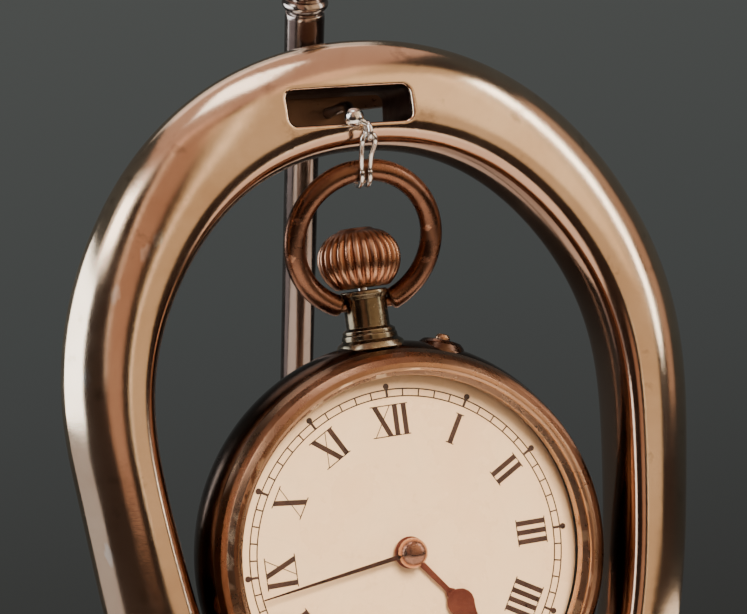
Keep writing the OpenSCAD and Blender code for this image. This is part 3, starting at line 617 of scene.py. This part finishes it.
def build_arch():
    NS = 144
    m = len(CLP)
    verts, faces = [], []
    tang = []
    for i in range(m):
        tang.append((CLP[min(i + 1, m - 1)][0] - CLP[max(i - 1, 0)][0]).normalized())
    tang = smooth_pts(tang, 3)
    idx = {}
    for i in range(m):
        p, w = CLP[i]
        t = tang[i].normalized()
        n = Vector((-t.y, t.x))
        for j in range(NS):
            u, v = sec_uv(2 * pi * j / NS, w)
            verts.append(Vector((p.x + n.x * u, v, p.y + n.y * u)))
    i0 = min(i for i in range(m) if abs(CLP[i][0].x + 1.1) < 9.1 and CLP[i][0].y > 80)
    i1 = max(i for i in range(m) if abs(CLP[i][0].x + 1.1) < 9.1 and CLP[i][0].y > 80)
    j0, j1 = 15, 48          # 37.5 to 120 degrees of the section
    cut = set()
    for i in range(i0, i1):
        for j in range(j0, j1):
            cut.add((i, j))
            cut.add((i, (NS - 1 - j)))
    for i in range(m - 1):
        for j in range(NS):
            if (i, j) in cut:
                continue
            l = (j + 1) % NS
            faces.append((i * NS + j, i * NS + l, (i + 1) * NS + l, (i + 1) * NS + j))
    # end caps stand on the tread
    for i, rev in ((0, False), (m - 1, True)):
        ring = [i * NS + j for j in range(NS)]
        faces.append(tuple(reversed(ring)) if rev else tuple(ring))
    rr = 0.5
    walls = []
    for sgn in (1, -1):
        def vid(i, j):
            return i * NS + (j % NS if sgn > 0 else (-j) % NS)
        loop = [(i, j0) for i in range(i0, i1)] + [(i1, j) for j in range(j0, j1)] + \
               [(i, j1) for i in range(i1, i0, -1)] + [(i0, j) for j in range(j1, j0, -1)]
        hx = max(abs(verts[vid(*q)].x) for q in loop)
        rows = []
        for q in loop:
            b = verts[vid(*q)]
            i, j = q
            fx = (2.0 * (i - i0) / (i1 - i0) - 1)
            fz = (1 - 2.0 * (j - j0) / (j1 - j0))
            s, n = slot_outline(SW * fx, SH * fz * 1.0)
            row = []
            for k in range(8):
                al = rad(90.0 * k / 7)
                off, dep = rr * (1 - math.cos(al)), rr * (1 - math.sin(al))
                x, z = s.x + n.x * off, s.y + n.y * off
                row.append(Vector((x, sgn * (surf_y(x, z) - dep), z)))
            s2 = Vector((s.x + n.x * rr, s.y + n.y * rr))
            for fr in (0.14, 0.3, 0.48, 0.66, 0.84):
                x, z = s2.x + (b.x - s2.x) * fr, s2.y + (b.z - s2.y) * fr
                row.append(Vector((x, sgn * surf_y(x, z), z)))
            ids = []
            for vv in row:
                ids.append(len(verts))
                verts.append(vv)
            ids.append(vid(*q))
            rows.append(ids)
        L = len(rows)
        for a in range(L):
            b = (a + 1) % L
            for k in range(len(rows[a]) - 1):
                faces.append((rows[a][k], rows[b][k], rows[b][k + 1], rows[a][k + 1]))
        walls.append([r[0] for r in rows])
    L = len(walls[0])
    mid = []
    for a in range(L):
        f, b = verts[walls[0][a]], verts[walls[1][a]]
        ids = [walls[0][a]]
        for k in range(1, 8):
            ids.append(len(verts))
            verts.append(f.lerp(b, k / 8))
        ids.append(walls[1][a])
        mid.append(ids)
    for a in range(L):
        b = (a + 1) % L
        for k in range(8):
            faces.append((mid[a][k], mid[b][k], mid[b][k + 1], mid[a][k + 1]))
    return verts, faces


def slot_walls(ob):
    for q in ob.data.polygons:
        c = SLOT_INV @ (q.center / MM)
        if abs(c.x) < SW + 0.04 and abs(c.z) < SH + 0.04 and abs(c.y) < 5.2:
            q.material_index = 1


v, f = build_arch()
make("stirrup_arch_plated", v, f, [M_ARCH, M_SLOT], "stand", replaces=["stirrup_arch"], sharp=50, extra=slot_walls)

# ------------------------------------------------------------------ tread plate
def tread():
    prof = [(0.0, 0.0), (0.6, 0.35)]
    half = 17.0
    R = 12.0
    n = 40
    def outline(r):
        o = []
        for k in range(n + 1):
            a = -pi / 2 + pi * k / n
            o.append((half + r * math.cos(a), r * math.sin(a)))
        for k in range(n + 1):
            a = pi / 2 + pi * k / n
            o.append((-half + r * math.cos(a), r * math.sin(a)))
        return o
    steps = [(R - 0.6, 0.0), (R - 0.15, 0.18), (R, 0.6), (R, 1.6), (R - 0.35, 2.0), (R - 0.35, 2.3), (R, 2.7), (R, 3.4), (R - 0.25, 4.05), (R - 0.8, 4.45),
             (R - 1.6, 4.5), (R - 2.2, 4.42), (R - 2.4, 4.2), (R - 2.6, 4.2), (R - 2.8, 4.42), (R - 3.2, 4.5), (R - 6, 4.5), (R - 9, 4.5)]
    v, f = [], []
    m = len(outline(1))
    for (r, z) in steps:
        for (x, y) in outline(r):
            v.append(Vector((x, y, z)))
    for i in range(len(steps) - 1):
        for k in range(m):
            l = (k + 1) % m
            f.append((i * m + k, i * m + l, (i + 1) * m + l, (i + 1) * m + k))
    f.append(tuple(range(m - 1, -1, -1)))
    f.append(tuple(range((len(steps) - 1) * m, len(steps) * m)))
    return v, f


v, f = tread()
make("tread_plate_plated", v, f, M_TREAD, "stand", replaces=["tread_plate"], slot="plated_stand", sharp=35)
# collars where the branches meet the tread
for sx in (-1, 1):
    foot = branch(0.93, sx)
    cprof = fillet([(4.2, 0.0), (5.6, 0.0), (5.7, 0.5), (5.2, 1.0), (4.6, 1.5), (4.2, 1.6)], [0, 0.2, 0.4, 0.3, 0.3, 0], 4)
    vv, ff = lathe_geo(cprof, 72, T(foot.x - sx * 0.2, 0, 4.45) @ Matrix.Diagonal((0.86 if sx > 0 else 0.98, 1.15, 1, 1)))
    make("branch_collar_" + ("left" if sx < 0 else "right"), vv, ff, M_TREAD, "stand", slot="plated_stand", sharp=40)

# ------------------------------------------------------------------ strut
FOOT_S = -(94 - 3.0) / math.cos(rad(30.6))
rod_prof = fillet([(0, FOOT_S + 2.0), (2.1, FOOT_S + 2.0), (2.15, FOOT_S + 5), (2.15, -60), (2.15, -6.6), (2.15, 11.5), (0, 11.5)], 0.05, 2)
lathe("strut_rod_turned", rod_prof, S, M_ROD_SHADED, "strut", seg=64, replaces=["strut_rod"], slot="plated_strut", sharp=50)
fer = fillet([(2.16, -6.5), (2.3, -6.45), (2.4, -6.2), (2.45, -5.8), (2.45, -5.0), (2.45, 11.0), (2.4, 11.5), (2.16, 11.5)], 0.12, 4)
lathe("strut_ferrule_turned", fer, S, M_ROD_SHADED, "strut", seg=72, replaces=["strut_ferrule"], slot="plated_strut", sharp=50)


def bead(zc, r0, r1, h, n=10):
    return [(r0 + (r1 - r0) * math.sin(pi * k / n) ** 0.8, zc - h / 2 + h * k / n) for k in range(n + 1)]


col = [(0, 11.5), (2.1, 11.5), (2.1, 11.72)] + bead(12.65, 2.1, 2.86, 1.8) + [(2.06, 13.72), (2.06, 13.84)] + bead(14.95, 2.1, 2.84, 1.9) + [(2.1, 16.1), (0, 16.1)]
lathe("strut_collar_turned", col, S, M_ROD_SHADED, "strut", seg=72, replaces=["strut_collar"], slot="plated_strut", sharp=50)
fin = [(0, 16.1), (1.5, 16.1), (1.5, 16.5), (1.32, 17.0), (1.3, 17.7), (1.5, 18.3), (2.0, 18.55), (2.1, 18.9), (1.95, 19.2), (2.1, 19.6), (2.55, 20.4), (2.9, 21.3), (3.08, 22.3),
       (3.0, 23.1), (2.7, 23.9), (2.2, 24.5), (1.7, 24.85), (1.35, 25.05), (1.3, 25.3)]
fin += [(1.7 * math.sin(a), 26.6 - 1.7 * math.cos(a)) for a in [rad(50 + 13 * k) for k in range(10)]] + [(0.0, 28.3)]
lathe("strut_finial_turned", fin, S, M_ROD_SHADED, "strut", seg=72, replaces=["strut_finial"], slot="plated_strut", sharp=60)
ft = [(0, FOOT_S - 2.98)] + [(3.0 * math.sin(a), FOOT_S - 3.0 * math.cos(a)) for a in [rad(10 * k) for k in range(1, 12)]] + \
     [(2.65, FOOT_S + 1.6), (2.6, FOOT_S + 3.9), (2.45, FOOT_S + 4.4), (2.16, FOOT_S + 4.5)]
lathe("strut_foot_tip", ft, S, M_RUBBER, "strut", seg=56, replaces=["strut_foot"], slot="foot_rubber", sharp=60)

# ------------------------------------------------------------------ hook
stem = catmull([(0, 9.2, 90.9), (0, 5, 90.9), (0, 1.3, 90.9), (-0.05, -0.4, 90.87), (-0.3, -2.0, 90.65), (-0.7, -3.6, 90.2), (-1.0, -4.9, 89.75), (-1.2, -6.1, 89.35), (-1.3, -7.0, 89.0)], 6)
g1 = sweep_geo(stem, lambda t: 0.68 - 0.06 * t, 24)
knob = []
for (r, z) in ((0, -1.12), (0.45, -1.06), (0.8, -0.86), (1.02, -0.55), (1.13, -0.15), (1.13, 0.2), (1.0, 0.58), (0.78, 0.86), (0.55, 0.98), (0.42, 1.06), (0.2, 1.12), (0, 1.13)):
    knob.append((r, z))
gk = lathe_geo(fillet(knob, 0.1, 2), 40, T(-1.3, -7.0, 89.0) @ Matrix.Rotation(rad(70), 4, "X") @ Matrix.Rotation(rad(-20), 4, "Y"))
gt = sweep_geo(catmull([(-1.3, -7.0, 89.0), (-0.75, -7.2, 88.6), (-0.05, -7.38, 88.1)], 6), lambda t: 0.45 - 0.12 * t, 18)
ev, ef = [], []
for k in range(64):
    a = 2 * pi * k / 64
    for j in range(20):
        b = 2 * pi * j / 20
        r = 0.95 + 0.3 * math.cos(b)
        ev.append(Vector((0.3 * math.sin(b), -7.4 + r * math.cos(a), 87.2 + r * math.sin(a))))
for k in range(64):
    for j in range(20):
        ef.append((k * 20 + j, k * 20 + (j + 1) % 20, ((k + 1) % 64) * 20 + (j + 1) % 20, ((k + 1) % 64) * 20 + j))
v, f = join_geo(g1, gk, gt, (ev, ef))
make("hook_stem_wire", v, f, M_WIRE, "stand", replaces=["hook_stem"], slot="hook_wire", sharp=60)

BOW_LEAN = rad(20)
PIV = Vector((0, 2.8, DIAL_Z + 29.5))
BOW_R, BOW_W = 8.5, 1.3
BOW_C = PIV + Vector((0, -8.1 * math.sin(BOW_LEAN), 8.1 * math.cos(BOW_LEAN)))
BOW_TOP = BOW_C + Vector((0, -BOW_R * math.sin(BOW_LEAN), BOW_R * math.cos(BOW_LEAN)))
jr = BOW_W + 0.5
half = [Vector((0.5, BOW_TOP.y - jr * math.cos(rad(b)), BOW_TOP.z - jr * math.sin(rad(b)))) for b in range(165, -1, -15)]
half += [Vector(q) for q in ((0.6, -5.5, 84.5), (0.75, -6.6, 85.5), (0.78, -7.2, 86.05), (0.7, -7.38, 86.5), (0.42, -7.4, 86.82))]
path = half + [Vector((0, -7.4, 86.92))] + [Vector((-q.x, q.y, q.z)) for q in reversed(half)]
link = catmull(path, 5)
v, f = sweep_geo(link, lambda t: 0.3, 18, Vector((0, 1, 0.3)))
make("hook_link_wire", v, f, M_WIRE, "hook", replaces=["hook_link"], slot="hook_wire", sharp=60)

# ------------------------------------------------------------------ bow
def bow_geo():
    v, f = [], []
    n, sd = 200, 32
    a0 = math.asin(3.0 / BOW_R)
    base = Matrix.Translation(BOW_C) @ Matrix.Rotation(BOW_LEAN, 4, "X")
    rings = []
    for k in range(n + 1):
        t = k / n
        a = -pi / 2 + a0 + (2 * pi - 2 * a0) * t
        # wire is worn thinner where the hook sits and narrows at its two ends
        e = min(t, 1 - t)
        w = BOW_W * (1.0 - 0.05 * math.exp(-((t - 0.5) / 0.03) ** 2))
        end = min(1.0, e / 0.012)
        w *= 0.55 + 0.45 * math.sqrt(max(0.0, 1 - (1 - end) ** 2))
        c = Vector((BOW_R * math.cos(a), 0, BOW_R * math.sin(a)))
        rd = Vector((math.cos(a), 0, math.sin(a)))
        rings.append([base @ (c + rd * (w * math.cos(2 * pi * j / sd)) + Vector((0, 1, 0)) * (w * math.sin(2 * pi * j / sd))) for j in range(sd)])
    for r in rings:
        v += r
    for k in range(n):
        for j in range(sd):
            l = (j + 1) % sd
            f.append((k * sd + j, k * sd + l, (k + 1) * sd + l, (k + 1) * sd + j))
    f.append(tuple(range(sd - 1, -1, -1)))
    f.append(tuple(range(n * sd, (n + 1) * sd)))
    gs = [(v, f)]
    for s in (-1, 1):
        pts = [Vector((s * x, 2.8, DIAL_Z + 29.5)) for x in (1.6, 2.2, 2.8, 3.4)]
        gs.append(sweep_geo(pts, lambda t: 0.58, 20, Vector((0, 1, 0))))
    return join_geo(*gs)


v, f = bow_geo()
make("bow_ring", v, f, M_BOW, "bow", replaces=["pendant_bow"], slot="bow_copper", sharp=60)

# ------------------------------------------------------------------ case band, neck, lug, knuckles
band = [(20.4, -3.2), (20.4, -2.2), (21.45, -2.2), (21.45, 0.85), (21.6, 1.15), (22.6, 1.2), (23.2, 1.17)]
band += [(22.0 + 3.0 * math.cos(rad(a)), -2.9 + 4.2 * math.sin(rad(a))) for a in range(62, -63, -4)]
band += [(23.2, -6.6), (21.4, -6.6), (21.2, -6.4), (21.2, -3.2)]
gs = [lathe_geo(band, 256, W, closed=True)]
neck = fillet([(0.68, 24.0), (3.0, 24.0), (4.3, 24.2), (3.9, 24.95), (3.35, 25.35), (3.3, 25.9), (3.15, 26.1), (3.15, 26.45), (2.6, 26.8), (2.6, 30.2), (2.75, 30.45),
               (2.9, 30.7), (2.9, 31.05), (2.7, 31.2), (0.68, 31.2)], 0.14, 4)
make("case_band_shell", *join_geo(*gs), M_BAND, "case", replaces=["case_band"], slot="copper_case", sharp=38)
lathe("pendant_neck", neck, P, M_NECK, "case", seg=96, slot="copper_case", sharp=50)
BT = W @ Matrix.Rotation(rad(-20), 4, "Z") @ T(0, 0, -2.9) @ Matrix.Rotation(rad(-90), 4, "X")
lug = fillet([(0.97, 23.6), (3.2, 23.6), (3.05, 24.3), (2.7, 25.0), (2.3, 25.4), (1.9, 25.5), (0.97, 25.5)], 0.3, 5)
lathe("button_lug", lug, BT, M_LUG, "case", seg=64, slot="copper_case", sharp=55)
btn = fillet([(0, 19.6), (1.3, 19.6), (1.3, 20.2), (0.9, 20.2), (0.9, 25.85), (0.72, 26.2), (0.4, 26.3), (0, 26.3)], 0.12, 4)
lathe("setting_button_cap", btn, BT, M_BEZEL, "set_button", seg=48, replaces=["setting_button"], slot="copper_case", sharp=55)
HY, HZF, HZB = -24.6, 1.6, -7.2


def knuckle(name, x0, x1, z, r, mat, body, web=None, slot=None):
    X = W @ T(0, HY, z) @ Matrix.Rotation(rad(90), 4, "Y")
    pr = fillet([(0.5, x0), (r, x0), (r, x1), (0.5, x1)], [0, 0.12, 0.12, 0], 3)
    g = [lathe_geo(pr, 40, X, closed=True)]
    if web:
        (wx0, wx1, wy0, wy1, wz0, wz1) = web
        cs = [W @ Vector((x, y, zz)) for zz in (wz0, wz1) for y in (wy0, wy1) for x in (wx0, wx1)]
        g.append((cs, [(0, 1, 3, 2), (4, 6, 7, 5), (0, 4, 5, 1), (2, 3, 7, 6), (0, 2, 6, 4), (1, 5, 7, 3)]))
    v, f = join_geo(*g)
    make(name, v, f, mat, body, slot=slot, sharp=40)


for s in (-1, 1):
    x0, x1 = (1.6, 3.2) if s > 0 else (-3.2, -1.6)
    sd = "right" if s > 0 else "left"
    knuckle("front_knuckle_" + sd, x0, x1, HZF, 0.9, M_BAND, "case", (x0 + 0.1, x1 - 0.1, HY + 0.1, HY + 1.5, 0.2, 1.05), "copper_case")
    x0, x1 = (3.2, 4.9) if s > 0 else (-4.9, -3.2)
    knuckle("rear_knuckle_" + sd, x0, x1, HZB, 0.8, M_BAND, "case", (x0 + 0.1, x1 - 0.1, HY + 0.1, HY + 1.5, -6.9, -5.9), "copper_case")

# ------------------------------------------------------------------ bezel, crystal, back
bez = fillet([(20.8, 1.4), (23.7, 1.4), (23.95, 1.9), (23.45, 3.05), (22.9, 3.85), (22.2, 4.42), (21.7, 4.58), (21.35, 4.4), (21.3, 4.05), (21.55, 3.95), (21.55, 3.05), (20.8, 2.85)],
             [0.1, 0.15, 0.3, 0.6, 0.6, 0.3, 0.2, 0.12, 0.05, 0.05, 0.05, 0.1], 4, closed=True)
gz = lathe_geo(bez, 256, W, closed=True)
X = W @ T(0, HY, HZF) @ Matrix.Rotation(rad(90), 4, "Y")
gk = lathe_geo(fillet([(0.5, -1.5), (0.9, -1.5), (0.9, 1.5), (0.5, 1.5)], [0, 0.12, 0.12, 0], 3), 40, X, closed=True)
make("bezel_ring", *join_geo(gz, gk), M_BEZEL, "front_bezel", replaces=["bezel"], slot="rose_bezel", sharp=38)


def dome(r0, z0, h, n):
    R = (r0 * r0 + h * h) / (2 * h)
    am = math.asin(r0 / R)
    return [(R * math.sin(am * (1 - i / n)), z0 + h - R + R * math.cos(am * (1 - i / n))) for i in range(n + 1)]


cry = [(20.6, 3.05), (21.4, 3.08), (21.5, 3.2), (21.5, 3.75), (21.35, 3.95), (21.15, 4.05)] + dome(20.6, 4.2, 1.49, 24) + list(reversed(dome(20.4, 3.42, 1.5, 24)))
lathe("crystal_dome", cry, W, M_GLASS, "front_bezel", seg=192, closed=True, replaces=["crystal"], slot="watch_glass", sharp=60)
bk = [(22.6, -7.0), (23.1, -6.7), (23.95, -6.72), (24.14, -7.0), (24.05, -7.25), (23.8, -7.45), (23.55, -7.5), (23.5, -7.62), (23.25, -7.85), (22.6, -8.08), (22, -8.2)]
bk += [(r, -z) for (r, z) in dome(21, 8.36, 0.93, 24)] + [(r, -z) for (r, z) in reversed(dome(21, 7.85, 0.95, 24))]
gb = lathe_geo(bk, 256, W, closed=False)
X = W @ T(0, HY, HZB) @ Matrix.Rotation(rad(90), 4, "Y")
ks = []
for (a, b) in ((1.3, 3.1), (-3.1, -1.3)):
    ks.append(lathe_geo(fillet([(0.5, a), (0.8, a), (0.8, b), (0.5, b)], [0, 0.12, 0.12, 0], 3), 40, X, closed=True))
make("back_cover_shell", *join_geo(gb, *ks), M_BAND, "back", replaces=["back_cover"], slot="copper_case", sharp=38)

# ------------------------------------------------------------------ crown
RIBS = 28


def crown_mod(r, z, a):
    if r < 0.8:
        return r
    t = max(0.0, min(1.0, (z - 31.9) / 0.9)) * max(0.0, min(1.0, (38.15 - z) / 0.9))
    g = 0.5 - 0.5 * math.cos(RIBS * a)
    return r - 0.34 * t * (1 - g) ** 1.6 * min(1.0, r / 4.0)


crp = [(0, 31.5), (2.9, 31.5), (3.3, 31.6), (3.55, 31.85), (3.9, 32.2), (4.35, 32.8), (4.68, 33.45), (4.9, 34.15), (4.98, 34.9), (4.93, 35.6), (4.75, 36.25), (4.4, 36.9), (3.9, 37.5),
       (3.3, 37.95), (2.8, 38.2), (2.3, 38.33), (2.1, 38.45), (1.9, 38.6), (1.5, 38.66), (0.9, 38.69), (0, 38.7)]
lathe("crown_onion", crp, P, M_CROWN, "winder", seg=28 * 12, replaces=["winding_crown"], slot="crown_copper", rmod=crown_mod, sharp=70)

# ------------------------------------------------------------------ dial
R1 = 19.2
dp = [(1.36, -0.75), (1.36, -0.12), (1.45, -0.03), (1.7, 0.0)] + [(r, 0.0) for r in (4, 8, 12, 16, 19)] + [(20.6, -0.01), (21.0, -0.05), (21.18, -0.2), (21.18, -0.75)]
lathe("dial_enamelled", dp, W, M_ENAMEL, "case", seg=192, closed=True, replaces=["dial"], slot="enamel", sharp=50)


def rect(cx, cy, w, h, skew=0.0):
    return [(cx - w / 2 - skew, cy - h / 2), (cx + w / 2 - skew, cy - h / 2), (cx + w / 2 + skew, cy + h / 2), (cx - w / 2 + skew, cy + h / 2)]


def circ(cx, cy, rx, ry, n=40):
    return [(cx + rx * math.cos(2 * pi * k / n), cy + ry * math.sin(2 * pi * k / n)) for k in range(n)]


def numeral_strokes(s, h, thick, thin, gap, serif):
    """Polygons for a Roman numeral, centred on x = 0, from y = 0 to y = h."""
    adv = {"I": thick + gap, "V": h * 0.62 + gap * 0.4, "X": h * 0.62 + gap * 0.4}
    total = sum(adv[c] for c in s) - gap
    x = -total / 2
    polys = []
    lo = x
    for c in s:
        wd = adv[c] - (gap if c == "I" else gap * 0.4)
        if c == "I":
            polys.append(rect(x + thick / 2, h / 2, thick, h))
        elif c == "V":
            b = x + wd * 0.52
            polys.append([(b - thick * 0.35, 0), (b + thick * 0.25, 0), (x + thick * 1.05, h), (x, h)])
            polys.append([(b - thin * 0.4, 0), (b + thin * 0.9, 0), (x + wd, h), (x + wd - thin * 1.2, h)])
        else:
            polys.append([(x + wd - thick * 1.08, 0), (x + wd, 0), (x + thick * 1.08, h), (x, h)])
            polys.append([(x, 0), (x + thin * 1.3, 0), (x + wd, h), (x + wd - thin * 1.3, h)])
        for yy in (serif / 2, h - serif / 2):
            if c == "V" and yy < h / 2:
                continue
            ext = 0.22
            x0, x1 = x - ext, x + wd + ext
            polys.append(rect((x0 + x1) / 2, yy, x1 - x0, serif))
        x += adv[c]
    return polys


NUM = ["XII", "I", "II", "III", "IIII", "V", "VI", "VII", "VIII", "IX", "X", "XI"]
gs = []
for k, s in enumerate(NUM):
    a = rad(-30.0 * k)
    Mx = W @ Matrix.Rotation(a, 4, "Z") @ T(0, 0.715 * R1, 0)
    for q, poly in enumerate(numeral_strokes(s, 0.195 * R1, 0.60, 0.09, 0.50, 0.13)):
        gs.append(prism(poly, -0.02, 0.018 + 0.0015 * q, Mx))
make("numerals", *join_geo(*gs), M_INK, "case", slot="blued_hand", sharp=30, weld=0, recalc=False)

gs = []
for (r0, r1, z1) in ((0.953 * R1, 0.961 * R1, 0.012), (0.998 * R1, 1.006 * R1, 0.012)):
    gs.append(lathe_geo([(r0, -0.01), (r0, z1), (r1, z1), (r1, -0.01)], 240, W, closed=True))
for k in range(60):
    a = rad(-6.0 * k)
    Mx = W @ Matrix.Rotation(a, 4, "Z")
    if k % 5 == 0:
        gs.append(prism(rect(0, 0.985 * R1, 0.30, 0.05 * R1), -0.01, 0.016, Mx))
        gs.append(prism(circ(0, 1.022 * R1, 0.36, 0.36, 20), -0.01, 0.02, Mx))
    else:
        gs.append(prism(rect(0, 0.98 * R1, 0.17, 0.042 * R1), -0.01, 0.014, Mx))
make("minute_track", *join_geo(*gs), M_INK, "case", slot="blued_hand", sharp=30, weld=0)

# ------------------------------------------------------------------ hands
def hand(name, polys, z0, z1, ang, mat, body, replaces, slot, inset=0.06, hub=None):
    Mx = W @ Matrix.Rotation(rad(-ang), 4, "Z")
    gs = [prism(p, z0, z1 - 0.01 * i, Mx, inset) for i, p in enumerate(polys)]
    if hub:
        gs.append(lathe_geo(fillet(hub, 0.05, 3), 64, Mx))
    make(name, *join_geo(*gs), mat, body, replaces=replaces, slot=slot, sharp=30, weld=0)


mh = [(0.28, 0.2), (0.25, 4), (0.20, 9), (0.14, 14.5), (0.08, 18.4), (0.0, 18.88), (-0.08, 18.4), (-0.14, 14.5), (-0.20, 9), (-0.25, 4), (-0.28, 0.2)]
hand("minute_hand_blade", [mh], 1.3, 1.51, 262, M_HAND, "minute", ["minute_hand"], "blued_hand", 0.04,
     hub=[(0.8, 1.3), (1.6, 1.3), (1.6, 1.52), (0.8, 1.56)])
hh = [(0.40, 0.2), (0.30, 6.4), (0.62, 6.9), (0.62, 7.1), (-0.62, 7.1), (-0.62, 6.9), (-0.30, 6.4), (-0.40, 0.2)]
spade = []
for k in range(33):
    t = k / 32
    y = 6.9 + 5.7 * t
    w = 1.68 * math.sin(min(1.0, t / 0.62) * pi / 2) if t < 0.34 else 0
    spade.append((0, 0))
spade = [(0.3, 6.95), (0.9, 7.25), (1.4, 7.75), (1.66, 8.4), (1.66, 9.0), (1.42, 9.6), (1.0, 10.15), (0.62, 10.75), (0.36, 11.4), (0.18, 12.1), (0.0, 12.58)]
spade = spade + [(-x, y) for (x, y) in reversed(spade[:-1])]
hand("hour_hand_blade", [hh, spade], 0.55, 0.79, 141.7, M_HOUR, "hour", ["hour_hand"], "red_hand", 0.08,
     hub=[(1.14, 0.55), (1.9, 0.55), (1.9, 0.78), (1.14, 0.82)])
cp = [(0.79, 1.54), (1.7, 1.54), (1.78, 1.62), (1.76, 1.9), (1.62, 2.25), (1.35, 2.6), (1.0, 2.84), (0.6, 2.98), (0.25, 3.03), (0, 3.04)]
lathe("cap_dome", cp, W, M_CAP, "minute", seg=64, replaces=["centre_cap"], slot="rose_bezel", sharp=60)

# ------------------------------------------------------------------ CAD nodes that keep their shape
KEEP = {
    "tread_screws": M_STEEL, "bracket_screws": M_STEEL, "hinge_pin": M_STEEL, "strut_bracket": M_BRKT_SHADED,
    "main_plate": M_GILT, "barrel_bridge": M_NICKEL, "train_bridge": M_NICKEL, "balance_cock": M_NICKEL,
    "bridge_screws": M_BLUED, "case_screws": M_BLUED, "bezel_hinge_pin": M_STEEL, "back_hinge_pin": M_STEEL,
    "inner_cover": M_GILT, "winding_stem": M_STEEL, "button_spring": M_STEEL, "cannon_pinion": M_STEEL,
    "hour_wheel": M_GILT, "minute_wheel": M_GILT, "centre_wheel": M_GILT, "third_wheel": M_GILT,
    "fourth_wheel": M_GILT, "escape_wheel": M_STEEL, "pallet_lever": M_STEEL, "balance_wheel": M_GILT,
    "hairspring": M_BLUED, "barrel_drum": M_GILT, "mainspring": M_BLUED, "barrel_arbor": M_STEEL,
    "ratchet_wheel": M_STEEL, "crown_wheel": M_STEEL, "ratchet_click": M_STEEL,
}
for n, m in KEEP.items():
    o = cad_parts[n]
    if not o.material_slots:
        o.data.materials.append(m)
    for s in o.material_slots:
        s.material = m

# ------------------------------------------------------------------ stage and light
fm, nt, bs, tc = mat_base("floor_pale")
v0 = nmap(nt, tc, (1, 1, 1))
n1 = noise(nt, v0, 30, 4)
c0 = ramp(nt, n1.outputs["Fac"], [(0.3, (0.62, 0.60, 0.57)), (0.7, (0.68, 0.66, 0.63))])
nt.links.new(c0.outputs[0], bs.inputs["Base Color"])
bs.inputs["Roughness"].default_value = 0.8
me = bpy.data.meshes.new("floor")
n = 96
me.from_pydata([(0.125 * math.cos(2 * pi * k / n), 0.02 + 0.115 * math.sin(2 * pi * k / n), 0.0) for k in range(n)], [], [tuple(range(n))])
floor = bpy.data.objects.new("floor", me)
me.materials.append(fm)
bpy.context.scene.collection.objects.link(floor)

world = bpy.data.worlds.new("world")
bpy.context.scene.world = world
world.use_nodes = True
wt = world.node_tree
bg = wt.nodes["Background"]
wc = wt.nodes.new("ShaderNodeTexCoord")
sx = wt.nodes.new("ShaderNodeSeparateXYZ")
wt.links.new(wc.outputs["Generated"], sx.inputs[0])
mz = mrange(wt, sx.outputs["Z"], 0.0, 1.0, -0.30, 0.30)
rz = ramp(wt, mz.outputs[0], [(0.0, (0.026, 0.022, 0.019)), (0.25, (0.038, 0.038, 0.036)), (0.5, (0.062, 0.066, 0.064)), (0.72, (0.078, 0.083, 0.079)), (1.0, (0.070, 0.072, 0.069))])
my = mrange(wt, sx.outputs["Y"], 1.0, 0.0, -0.30, 0.15)
wx = mixc(wt, my.outputs[0], rz.outputs[0], (0.040, 0.026, 0.021))
wt.links.new(wx, bg.inputs[0])
bg.inputs[1].default_value = 1.0


AIM = Vector((0, 0, 0.06))


def card(name, az, el, dist, w, h, radiance, color, mirror=True):
    """A soft panel seen from the object at azimuth az (0 in front, positive to the right) and elevation el."""
    d = Vector((math.sin(rad(az)) * math.cos(rad(el)), -math.cos(rad(az)) * math.cos(rad(el)), math.sin(rad(el))))
    l = bpy.data.lights.new(name, "AREA")
    l.shape = "RECTANGLE"
    l.size, l.size_y = w, h
    l.energy = radiance * 4 * w * h
    l.color = color
    o = bpy.data.objects.new(name, l)
    bpy.context.scene.collection.objects.link(o)
    o.location = AIM + d * dist
    o.rotation_euler = (-d).to_track_quat("-Z", "Y").to_euler()
    o.visible_camera = False
    o.visible_glossy = mirror
    return o


card("front_warm", 26, 23, 0.90, 1.10, 1.25, 0.56, (1.0, 0.67, 0.40))
card("front_gold", 36, 27, 0.88, 0.42, 0.70, 0.52, (1.0, 0.76, 0.50))
card("front_streak", -3, 22, 0.86, 0.05, 0.95, 1.00, (1.0, 0.80, 0.58))
card("front_rose", -29, 25, 0.92, 0.36, 1.20, 0.36, (1.0, 0.52, 0.33))
card("front_glint", -41, 30, 0.90, 0.035, 0.80, 0.90, (1.0, 0.76, 0.60))
card("left_window", -105, 16, 0.60, 0.66, 0.36, 3.60, (0.93, 0.97, 1.0))
card("left_low", -106, -13, 0.62, 0.60, 0.26, 0.36, (1.0, 0.90, 0.90))
card("left_upper", -74, 42, 0.62, 0.30, 0.24, 0.70, (1.0, 0.90, 0.82))
card("left_upper_core", -72, 41, 0.61, 0.17, 0.15, 3.60, (1.0, 0.97, 0.94))
card("right_strip", 66, 22, 0.62, 0.075, 0.54, 5.20, (1.0, 0.97, 0.90))
card("right_glow", 62, 24, 0.64, 0.24, 0.56, 0.30, (1.0, 0.82, 0.60))
card("right_rose", 82, 16, 0.66, 0.16, 0.55, 0.36, (1.0, 0.58, 0.38))
card("overhead_rose", -20, 86, 0.78, 0.90, 0.90, 0.46, (1.0, 0.58, 0.43))
card("overhead_lamp", -30, 79, 0.66, 0.24, 0.20, 2.80, (1.0, 0.98, 0.94))
card("rear_top", 180, 62, 0.75, 0.60, 0.30, 0.55, (1.0, 0.90, 0.86))
card("dial_light", 8, 26, 0.70, 0.30, 0.30, 46.0, (1.0, 0.86, 0.71), mirror=False)
